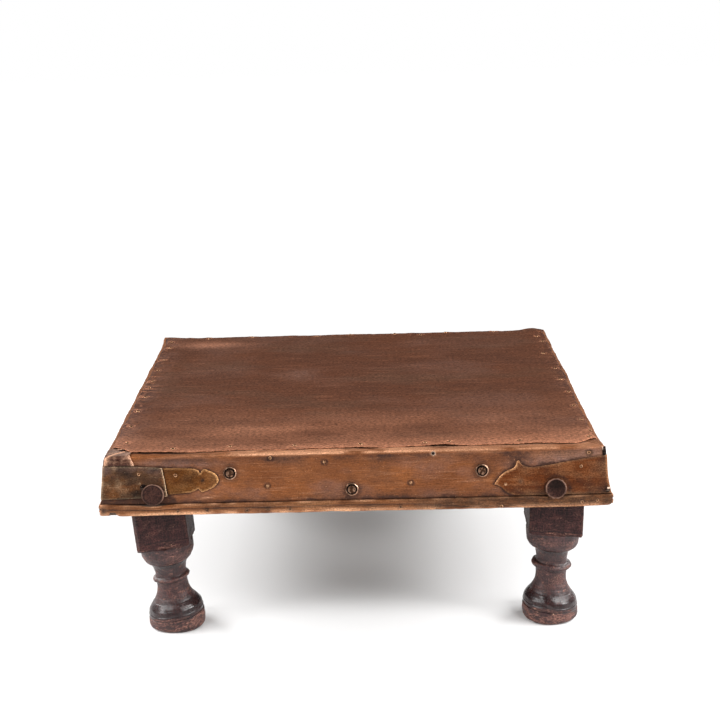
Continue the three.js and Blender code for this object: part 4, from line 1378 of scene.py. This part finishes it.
def cup_washer(side, end, seed):
    """A pressed cup washer, dark, with a painted highlight on the lit side of its thin edge and painted
    shade inside it, at its foot and on the side away from the light.
    """
    place = face_frame(side, SCREWS[side][end], -0.3)
    crest = SCREW_RADIUS + 0.9
    outline = [Vector(p) for p in (
        (SCREW_RADIUS - 1.6, 0.2), (WASHER_RADIUS - 0.2, 0.1), (WASHER_RADIUS, 0.6),
        (WASHER_RADIUS - 0.7, 1.5), (WASHER_RADIUS - 1.4, 2.0), (crest, 1.7), (crest - 0.6, 0.9),
        (SCREW_RADIUS - 1.6, 0.4))]
    profile = resample(outline, 30)
    glint = random.Random(seed).uniform(-1.3, -0.3)

    def distort(radius, height, angle):
        return radius + 0.25 * cloud(angle * 5, height, 4, seed, 2), height

    def marks(radius, height, angle):
        lit = clamp(0.6 + 0.5 * math.cos(angle - glint) + 0.6 * cloud(angle * 4, 0, 2, seed + 1, 2))
        wear_and_highlight = lit * bump(radius - WASHER_RADIUS + 0.9, 0.55) * smooth_step(height, 0.6, 1.6)
        grime_and_shade = smooth_step(radius, crest + 0.3, crest - 0.3) + 0.8 * smooth_step(height, 0.9, 0.3)
        return wear_and_highlight, grime_and_shade + 0.35 * (1 - lit)

    shape = Shape()
    lathe(shape, profile, 48, place, distort, marks, seed)
    return shape.build(f"cup_washer_{side}_{end}", FIXING, [f"washer_{side}_{end}"])


def slotted_screw(side, end, seed, slot_angle):
    """A countersunk screw with a cut slot."""
    place = face_frame(side, SCREWS[side][end], -0.6)
    outline = [Vector(p) for p in (
        (2.3, -6.0), (2.3, 0.2), (SCREW_RADIUS - 0.3, 2.2), (SCREW_RADIUS, 2.5),
        (SCREW_RADIUS - 0.4, 2.8), (SCREW_RADIUS / 1.6, 3.0), (0.2, 3.1))]

    def marks(radius, height, angle):
        mottle = cloud(radius * math.cos(angle), radius * math.sin(angle), 2.2, seed, 2)
        wear_and_highlight = 0.35 * smooth_step(height, 2.5, 3.0) * clamp(0.3 + 1.9 * mottle)
        grime_and_shade = smooth_step(radius, SCREW_RADIUS - 0.9, SCREW_RADIUS - 0.2) + clamp(-1.2 * mottle)
        # Painted shade in the slot and low on the head.
        grime_and_shade += smooth_step(height, 2.4, 1.9)
        return wear_and_highlight, grime_and_shade

    shape = Shape()
    lathe(shape, resample(outline, 30), 40, Matrix.Identity(4), None, marks, seed)
    screw = shape.build(f"slotted_screw_{side}_{end}", FIXING, [f"screw_{side}_{end}"], sharp=40)
    cut_slot(screw, slot_angle)
    screw.data.transform(Matrix.Translation(place.translation * MM) @ place.to_3x3().to_4x4())
    return screw


def cut_slot(screw, angle):
    """Cuts a straight slot across the head, with a boolean that is applied at once."""
    bm = bmesh.new()
    bmesh.ops.create_cube(bm, size=1.0)
    size = Matrix.Diagonal((*[length * MM for length in SLOT_SIZE], 1))
    turn = Matrix.Rotation(angle, 4, "Z")
    middle = SLOT_FLOOR + SLOT_SIZE[2] / 2
    bm.transform(Matrix.Translation((0, 0, middle * MM)) @ turn @ size)
    mesh = bpy.data.meshes.new("slot_cutter")
    bm.to_mesh(mesh)
    bm.free()
    cutter = linked("slot_cutter", mesh)
    cut = screw.modifiers.new("slot", "BOOLEAN")
    cut.operation = "DIFFERENCE"
    cut.solver = "EXACT"
    cut.object = cutter
    graph = bpy.context.evaluated_depsgraph_get()
    result = bpy.data.meshes.new_from_object(screw.evaluated_get(graph))
    screw.modifiers.clear()
    old = screw.data
    screw.data = result
    result.name = old.name
    bpy.data.meshes.remove(old)
    bpy.data.objects.remove(cutter)
    bpy.data.meshes.remove(mesh)


def tack(shape, place, radius, dice, dark=0.0, hollow=True):
    """One small tack head, a little out of level: domed, or beaten hollow."""
    tilt = Matrix.Rotation(dice.uniform(-0.14, 0.14), 4, "X")
    tilt = tilt @ Matrix.Rotation(dice.uniform(-0.14, 0.14), 4, "Y")
    radius *= dice.uniform(0.9, 1.12)
    height = radius * dice.uniform(0.4, 0.55)
    middle = 0.45 if hollow else 1.25
    profile = [(radius * 0.5, -1.5), (radius, -0.6), (radius, height * 0.2),
               (radius * 0.93, height * 0.7), (radius * 0.78, height),
               (radius * 0.6, height * (middle + 1) / 2), (radius * 0.42, height * middle),
               (radius * 0.2, height * middle), (0.05, height * middle)]
    lit_side = dice.uniform(0, 2 * math.pi)

    def marks(r, z, angle):
        if hollow:
            top = bump(r - radius * 0.8, radius * 0.16)
        else:
            top = smooth_step(r, radius * 0.9, radius * 0.5)
        # The crest gets a painted highlight towards a lit side; low down, and in a hollow head, the tack is
        # painted dark as shade.
        crest = top * smooth_step(z, 0, height * 0.6)
        wear_and_highlight = crest * (0.6 + 0.4 * math.cos(angle - lit_side)) * (1 - 0.7 * dark)
        grime_and_shade = 0.9 * smooth_step(z, height * 0.5, 0)
        if hollow:
            grime_and_shade += 0.45 * smooth_step(r, radius * 0.62, radius * 0.35)
        return wear_and_highlight, grime_and_shade + dark * (1 - crest)

    lathe(shape, profile, 14, place @ tilt, None, marks, dice.random())


def side_tacks(side, seed):
    dice = random.Random(seed)
    shape = Shape()
    for place in FACE_TACKS[side]:
        hollow = place[1] > 217
        tack(shape, face_frame(side, place, -0.1), TACK_RADIUS, dice, 0.0 if hollow else 0.25, hollow)
    for across, z in LIP_TACKS[side]:
        upright = Matrix.Rotation(math.pi / 2, 4, "X")
        here = Matrix.Translation((across, -LIP_OUT + 0.1, z))
        place = Matrix.Rotation(SIDES[side], 4, "Z") @ here @ upright
        bright = across > 150
        tack(shape, place, TACK_RADIUS * (0.95 if bright else 0.75), dice, 0.0 if bright else 0.85)
    return shape.build(f"tacks_{side}", TACK_METAL)


def strap_tacks():
    """Tacks through the corner metal."""
    dice = random.Random(41)
    shape = Shape()
    places = [("front", -242.6, 206.0), ("front", -201.4, 204.0), ("front", 171.1, 185.3),
              ("front", 255.8, 203.9), ("left", 252, 203)]
    for side, signs in (("right", (-1, 1)), ("rear", (-1, 1)), ("left", (-1,))):
        for sign in signs:
            places += [(side, sign * 252, 203), (side, sign * 171, 186)]
    for side, across, z in places:
        tack(shape, face_frame(side, (across, z), STRAP_LIFT - 0.1), TACK_RADIUS, dice, hollow=z > 200)
    return shape.build("tacks_straps", TACK_METAL)


def nail_holes():
    """Holes where a nail has gone, drawn as black discs of painted shade; those in the sheet have a bright
    burr round them.
    """
    shape = Shape()
    places = [(side, place, 1.5, 0.0) for side in SIDES for place in FACE_HOLES[side]]
    places.append(("front", PLATE_HOLE, 2.5, STRAP_LIFT))
    for side, place, radius, lift in places:
        profile = [(radius + 1.0, -1.5), (radius + 1.0, 0.3), (radius + 0.6, 0.65), (radius + 0.1, 0.6),
                   (radius - 0.3, 0.3), (radius * 0.4, 0.2), (0.05, 0.2)]

        def marks(r, z, angle, radius=radius, lift=lift):
            return (0.7 * bump(r - radius - 0.7, 0.35) * (lift == 0), 0.0)

        lathe(shape, profile, 16, face_frame(side, place, lift), None, marks, place[0])
    return shape.build("nail_holes", SHADOW_BLACK, [])


def top_tacks():
    dice = random.Random(17)
    shape = Shape()
    for x, y in TOP_TACKS:
        place = Matrix.Translation((x, y, HEIGHT - 0.75))
        tack(shape, place, TACK_RADIUS * dice.uniform(1.0, 1.3), dice, dice.uniform(0, 0.2))
    return shape.build("tacks_top", TACK_METAL)


# ---- Legs ----

BLOCK_HALF = 31.1
# Heights and radii of the turned part, which differ from leg to leg. skew is how far the
# turned rings are out of square with the leg, as a slope that rises to the right; edge is
# how far the block's corners are rounded, bevel how much is planed off its front left one, and
# rear_foot how much higher the block ends at its rear.
LEG_SHAPES = {
    "leg_front_left": {
        "foot": 105.8, "bowl": 84.5, "bowl_radius": 24.4, "ring": 62.3, "ring_radius": 21.8,
        "ring_half": 1.8, "line": 116.5, "skew": 0.055, "edge": 1.8, "bevel": 5.2, "rear_foot": -6.0},
    "leg_front_right": {
        "foot": 112.3, "bowl": 91.5, "bowl_radius": 25.6, "ring": 67.6, "ring_radius": 23.6,
        "ring_half": 2.6, "line": 117.7, "skew": -0.055, "edge": 1.8, "bevel": 0.0, "rear_foot": 2.5},
    "leg_rear_left": {
        "foot": 109.0, "bowl": 87.5, "bowl_radius": 25.0, "ring": 65.0, "ring_radius": 23.0,
        "ring_half": 2.3, "line": 117.0, "skew": 0.02, "edge": 2.4, "bevel": 2.0, "rear_foot": -1.0},
    "leg_rear_right": {
        "foot": 110.5, "bowl": 88.5, "bowl_radius": 25.3, "ring": 66.0, "ring_radius": 23.2,
        "ring_half": 2.5, "line": 117.3, "skew": -0.02, "edge": 2.4, "bevel": 2.0, "rear_foot": 1.0},
}


def leg_profile(sizes):
    """Radii up the turned part, from the floor to the foot of the block."""
    bowl, bowl_radius = sizes["bowl"], sizes["bowl_radius"]
    ring, ring_radius, ring_half = sizes["ring"], sizes["ring_radius"], sizes["ring_half"]
    # (radius, height, how much the corner is rounded)
    knots = [
        (0.5, 0, 0), (29.6, 0, 3.0), (32.6, 3.0, 3.0), (33.0, 9, 12), (32.6, 15.4, 0.6), (31.4, 16.2, 0.4),
        (32.2, 17.2, 0.5), (32.3, 20.5, 2.0), (31.7, 21.3, 0.4), (31.7, 22.2, 0.4),
        (30.9, 26.2, 4), (28.4, 30.2, 4), (25.3, 34.0, 2), (24.8, 34.2, 0.3),
        (24.3, 35.0, 0.3), (21.6, 39.4, 2), (21.2, 39.8, 0.3), (20.8, 40.8, 0.3),
        (18.8, 46.0, 6), (17.8, 53.0, 10), (18.0, ring - ring_half - 2.0, 3.0),
        (ring_radius - 0.8, ring - ring_half, 1.2), (ring_radius, ring, 1.4),
        (ring_radius - 1.0, ring + ring_half * 0.8, 1.0), (18.4, ring + ring_half + 2.0, 2.5),
        (18.0, ring + 8.0, 6), (19.6, bowl - 7.5, 5), (22.4, bowl - 1.8, 0.6),
        (bowl_radius - 0.7, bowl - 1.5, 0.2), (bowl_radius + 0.5, bowl - 0.8, 0.4),
        (bowl_radius + 2.5, bowl + 1.2, 1.2), (bowl_radius + 4.7, bowl + 5.2, 3.0), (30.9, bowl + 10, 5),
        (31.2, sizes["foot"] - 0.6, 0),
    ]
    corners = [(radius, height) for radius, height, _ in knots]
    return rounded_path(corners, [rounding for _, _, rounding in knots[1:-1]], 0.9)


def square_radius(angle, half, edge):
    """Distance from the middle of a rounded square to its side, in a direction."""
    c, s = sorted((abs(math.cos(angle)), abs(math.sin(angle))), reverse=True)
    inner = half - edge
    if s / c * half <= inner:
        return half / c
    reach = inner * (c + s)
    return reach + math.sqrt(max(reach ** 2 - 2 * inner ** 2 + edge ** 2, 0.0))


def block_radius(angle, height, sizes, seed):
    """Distance from a leg's middle to the side of its block, with a chipped foot and planed corner."""
    ragged = cloud(angle * 14, height, 5, seed + 6, 3)
    inset = 2.2 * (1 - smooth_step(height, sizes["foot"], sizes["foot"] + 3)) * clamp(0.7 + ragged)
    inset += 0.45 * bump(height - sizes["line"] - ragged, 0.8) * clamp(0.6 + 1.5 * ragged)
    radius = square_radius(angle, BLOCK_HALF - inset, sizes["edge"])
    towards_bevel = math.cos(angle + 3 * math.pi / 4)
    if towards_bevel > 0.5:
        bevelled = (2 * BLOCK_HALF - sizes["bevel"]) / math.sqrt(2) - inset
        radius = min(radius, bevelled / towards_bevel)
    return radius


def leg_dents(x, y, height, angle, square, sizes, seed):
    """How far a leg's surface stands out, or in where it is negative."""
    dents = (0.08 if square else 0.28) * cloud(x + height * 0.4, y + height, 19, seed, 3)
    dents += (0.16 if square else 0.26) * cloud(x + height, y - height, 5, seed + 1, 3)
    if not square:
        chips = clamp(cloud(angle * 9, height * 0.4, 4, seed + 4, 2) - 0.15)
        dents -= 3.5 * chips * bump(height - sizes["ring"], 2.5)
        dents -= 2.2 * chips * bump(height - sizes["bowl"] - 1, 2.5)
        dents -= 1.6 * chips * bump(height - 9, 5)
    return dents


def leg(name, seed):
    """A turned leg with its square block, leaning as its CAD node does."""
    high = node_box(name)[1]
    sizes = LEG_SHAPES[name]
    block_foot = sizes["foot"]
    block_top = high.z
    vertices = [vertex.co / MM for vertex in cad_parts[name].data.vertices]
    top = middle_of([v for v in vertices if v.z > block_top - 0.5])
    foot = middle_of([v for v in vertices if v.z < 0.5])
    tilt = (top - foot).normalized()
    rows = [(radius, height, False) for radius, height in leg_profile(sizes)]
    height = block_foot
    while height < block_top:
        rows.append((0.0, height, True))
        height += 0.6 if height < sizes["line"] + 2 else 3.0
    rows.append((0.0, block_top, True))
    segments = 144

    def point_at(row, column):
        radius, height, square = rows[row]
        turn = 2 * math.pi * column / segments
        angle = turn - 0.11 * math.sin(4 * turn) + math.pi / 4
        if square:
            radius = block_radius(angle, height, sizes, seed)
        x, y = radius * math.cos(angle), radius * math.sin(angle)
        wear_and_highlight, grime_and_shade = leg_marks(height, angle, square, sizes, seed)
        radius += leg_dents(x, y, height, angle, square, sizes, seed) * smooth_step(radius, 3, 14)
        radius -= 1.2 * smooth_step(height, 8, 0) * clamp(0.3 + 1.5 * cloud(angle * 6, 0, 5, seed + 2, 2))
        x, y = radius * math.cos(angle), radius * math.sin(angle)
        centre = foot.lerp(top, height / block_top)
        level = smooth_step(height, 0.0, 8.0) * smooth_step(height, block_top, block_top - 6)
        rise = (x * sizes["skew"] - (x * tilt.x + y * tilt.y) / tilt.z) * level
        if square:
            fade = smooth_step(height, block_foot + 25, block_foot)
            rise += sizes["rear_foot"] * smooth_step(y, 0, BLOCK_HALF) * fade
        around = x + 2 * y if square else angle * 24
        point = (centre.x + x, centre.y + y, height + rise)
        return point, (around, height), seed, wear_and_highlight, grime_and_shade

    shape = Shape()
    start = shape.grid(len(rows), segments, point_at, wrap=True)
    shape.cap(range(start, start + segments))
    last = start + (len(rows) - 1) * segments
    shape.cap(range(last, last + segments))
    label = name.replace("leg_", "")
    thing = shape.build(f"turned_leg_{label}", LEG_WOOD, [name], sharp=50)
    thing.data.materials.append(BLOCK_WOOD)
    first_square = next(i for i, row in enumerate(rows) if row[2]) * segments
    for polygon in thing.data.polygons:
        if min(polygon.vertices) >= first_square:
            polygon.material_index = 1
    return thing


def leg_marks(height, angle, square, sizes, seed):
    """Worn edges and matt foot against the blackened bell of a leg, with a painted highlight on the lower
    edge of the bowl and a painted shadow line under it.
    """
    ragged = cloud(angle * 9, height, 7, seed + 3, 3)
    fine = cloud(angle * 9, height, 2.5, seed + 5, 2)
    if square:
        corner = abs((angle % (math.pi / 2)) - math.pi / 4)
        wear_and_highlight = 0.5 * bump(corner, 0.04) * clamp(0.4 + ragged)
        wear_and_highlight += 0.5 * bump(height - sizes["foot"] - 2, 5) * clamp(2.4 * fine + 1.2 * ragged)
        wear_and_highlight += 0.4 * clamp(2.4 * fine - 0.7)
        grime_and_shade = 0.35 * clamp(0.6 + ragged) + 0.8 * bump(height - sizes["line"] - ragged, 0.8)
        return wear_and_highlight, grime_and_shade
    bowl, ring = sizes["bowl"], sizes["ring"]
    # The black stops higher on the faces that point straight out than beside them
    black_foot = 14.5 + 4.5 * abs(math.sin(angle)) + 3 * ragged
    wear_and_highlight = 0.85 * smooth_step(height, black_foot + 3, black_foot) * clamp(0.6 + 0.9 * ragged + 1.3 * fine)
    wear_and_highlight += 0.55 * bump(height - ring - 1, 2.2) * clamp(0.4 + 1.6 * ragged)
    # A painted highlight on the lower edge of the bowl.
    wear_and_highlight += 0.75 * bump(height - bowl - 0.6, 1.2) * clamp(0.5 + 1.7 * fine)
    wear_and_highlight += 0.35 * bump(height - bowl - 9, 8) * clamp(0.25 + 1.7 * ragged)
    wear_and_highlight += 0.35 * bump(height - 50, 11) * clamp(0.35 + 1.4 * ragged)
    wear_and_highlight += 0.8 * clamp(3 * fine - 1.15)
    black = smooth_step(height, black_foot, black_foot + 2) * smooth_step(height, 42, 31)
    grime_and_shade = 0.85 * black * clamp(0.9 + 0.6 * ragged)
    # A painted shadow line just under the bowl's edge, and a dark line at the step near the foot.
    grime_and_shade += bump(height - bowl + 1.6, 1.4) + 0.9 * bump(height - 16.2, 0.7)
    grime_and_shade += 0.55 * bump(height - bowl + 4.5, 2.6)
    grime_and_shade += 0.8 * bump(height - ring + sizes["ring_half"] + 1.4, 1.2)
    grime_and_shade += 0.6 * bump(height - ring - sizes["ring_half"] - 1.4, 1.0)
    grime_and_shade += 0.5 * bump(height - sizes["foot"], 1.2) + 0.35 * bump(height - ring - 12, 7)
    return wear_and_highlight * (1 - 0.8 * black), grime_and_shade


def middle_of(points):
    low = Vector(min(p[i] for p in points) for i in range(3))
    high = Vector(max(p[i] for p in points) for i in range(3))
    return (low + high) / 2


# ---- Build the table ----

for node_name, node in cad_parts.items():
    if node_name.startswith(("plank", "cleat", "apron", "lip_core")):
        node.data.materials.clear()
        node.data.materials.append(BOARD_WOOD)

top_sheet()
for number, side_name in enumerate(SIDES):
    skirt(side_name, 10 + 10 * number)
    lip(side_name, 110 + 10 * number)
    side_tacks(side_name, 210 + number)
    for i, end_name in enumerate(SCREWS[side_name]):
        cup_washer(side_name, end_name, 300 + 10 * number + i)
        slotted_screw(side_name, end_name, 400 + 10 * number + i, SLOT_ANGLES[i])
for number, (side_name, corner_name) in enumerate(STRAP_CORNERS.items()):
    strap(side_name, corner_name, 51 + number)
patch_plate()
patch_tongue()
corner_cap()
torn_flap()
corner_shadow_strip()
corner_scrap()
for side_name, first_seed in (("front", 519), ("rear", 516)):
    for i, end_name in enumerate(STUDS):
        stud(side_name, end_name, first_seed + i)
strap_tacks()
top_tacks()
nail_holes()
for i, leg_name in enumerate(LEG_SHAPES):
    leg(leg_name, 600 + 10 * i)

# ---- Floor, light and camera ----


def floor():
    """A pale floor that fades into a white surround away from the table."""
    reach = 9.0
    corners = [(x * reach, y * reach, 0) for x, y in ((-1, -1), (1, -1), (1, 1), (-1, 1))]
    mesh = bpy.data.meshes.new("floor")
    mesh.from_pydata(corners, [], [(0, 1, 2, 3)])
    ground = linked("floor", mesh)
    paint = Paint("floor")
    point = paint.object_point()
    length = paint.nodes.new("ShaderNodeVectorMath")
    length.operation = "LENGTH"
    paint.links.new(point, length.inputs[0])
    away = paint.between(length.outputs["Value"], 0.75, 1.5)
    glow = paint.nodes.new("ShaderNodeEmission")
    glow.inputs["Color"].default_value = (1, 1, 1, 1)
    glow.inputs["Strength"].default_value = 1.02
    mixer = paint.nodes.new("ShaderNodeMixShader")
    paint.finish((0.80, 0.80, 0.80), 0.9, Emission_Color=(1, 1, 1, 1), Emission_Strength=0.01)
    paint.links.new(away, mixer.inputs["Fac"])
    paint.links.new(paint.shader.outputs["BSDF"], mixer.inputs[1])
    paint.links.new(glow.outputs["Emission"], mixer.inputs[2])
    paint.links.new(mixer.outputs["Shader"], paint.nodes["Material Output"].inputs["Surface"])
    ground.data.materials.append(paint.material)


def softbox(azimuth, elevation, watts, distance=2.2, size=0.8):
    """A square soft light aimed at the table. Azimuth 0 is the front and 90 is the right."""
    light = bpy.data.lights.new("softbox", "AREA")
    light.shape = "SQUARE"
    light.size = size
    light.energy = watts
    lamp = linked("softbox", light)
    turn, tilt = math.radians(azimuth), math.radians(elevation)
    away = Vector((math.sin(turn) * math.cos(tilt), -math.cos(turn) * math.cos(tilt), math.sin(tilt)))
    lamp.location = Vector((0, 0, 0.1)) + away * distance
    lamp.rotation_euler = away.to_track_quat("Z", "Y").to_euler()


def surround(seen, lighting):
    """A white surround that adds only a little light of its own."""
    world = bpy.data.worlds.new("surround")
    world.use_nodes = True
    nodes, links = world.node_tree.nodes, world.node_tree.links
    background = nodes["Background"]
    background.inputs["Color"].default_value = (1, 1, 1, 1)
    rays = nodes.new("ShaderNodeLightPath")
    level = nodes.new("ShaderNodeMapRange")
    level.inputs["To Min"].default_value = lighting
    level.inputs["To Max"].default_value = seen
    links.new(rays.outputs["Is Camera Ray"], level.inputs["Value"])
    links.new(level.outputs["Result"], background.inputs["Strength"])
    bpy.context.scene.world = world


# Fitted to the outline of the table in the photo. The place is in metres, the angles in degrees.
CAMERA_PLACE = (0.0200, -1.9068, 0.7568)
CAMERA_PITCH = 14.622
CAMERA_YAW = -0.351
CAMERA_ROLL = -1.405
CAMERA_LENS = 75.75
# (azimuth, elevation, watts) of the soft lights, first those on the left
SOFT_LIGHTS = [(-120, 25, 33), (-90, 38, 24), (-65, 25, 23), (-40, 38, 15),
               (120, 25, 22), (90, 38, 23), (65, 25, 34), (40, 38, 20)]


def camera():
    """A long lens in front of the table, looking a little down and not quite level."""
    data = bpy.data.cameras.new("camera")
    data.sensor_width = 36.0
    data.lens = CAMERA_LENS
    data.clip_end = 60
    thing = linked("camera", data)
    pitch, yaw, roll = [math.radians(angle) for angle in (CAMERA_PITCH, CAMERA_YAW, CAMERA_ROLL)]
    aim = Matrix.Rotation(-yaw, 4, "Z") @ Matrix.Rotation(math.pi / 2 - pitch, 4, "X")
    turned = aim @ Matrix.Rotation(roll, 4, "Z")
    thing.matrix_world = Matrix.Translation(CAMERA_PLACE) @ turned
    bpy.context.scene.camera = thing


floor()
surround(seen=1.0, lighting=0.04)
for azimuth, elevation, watts in SOFT_LIGHTS:
    softbox(azimuth, elevation, watts)
camera()
bpy.context.scene.view_settings.view_transform = "Standard"
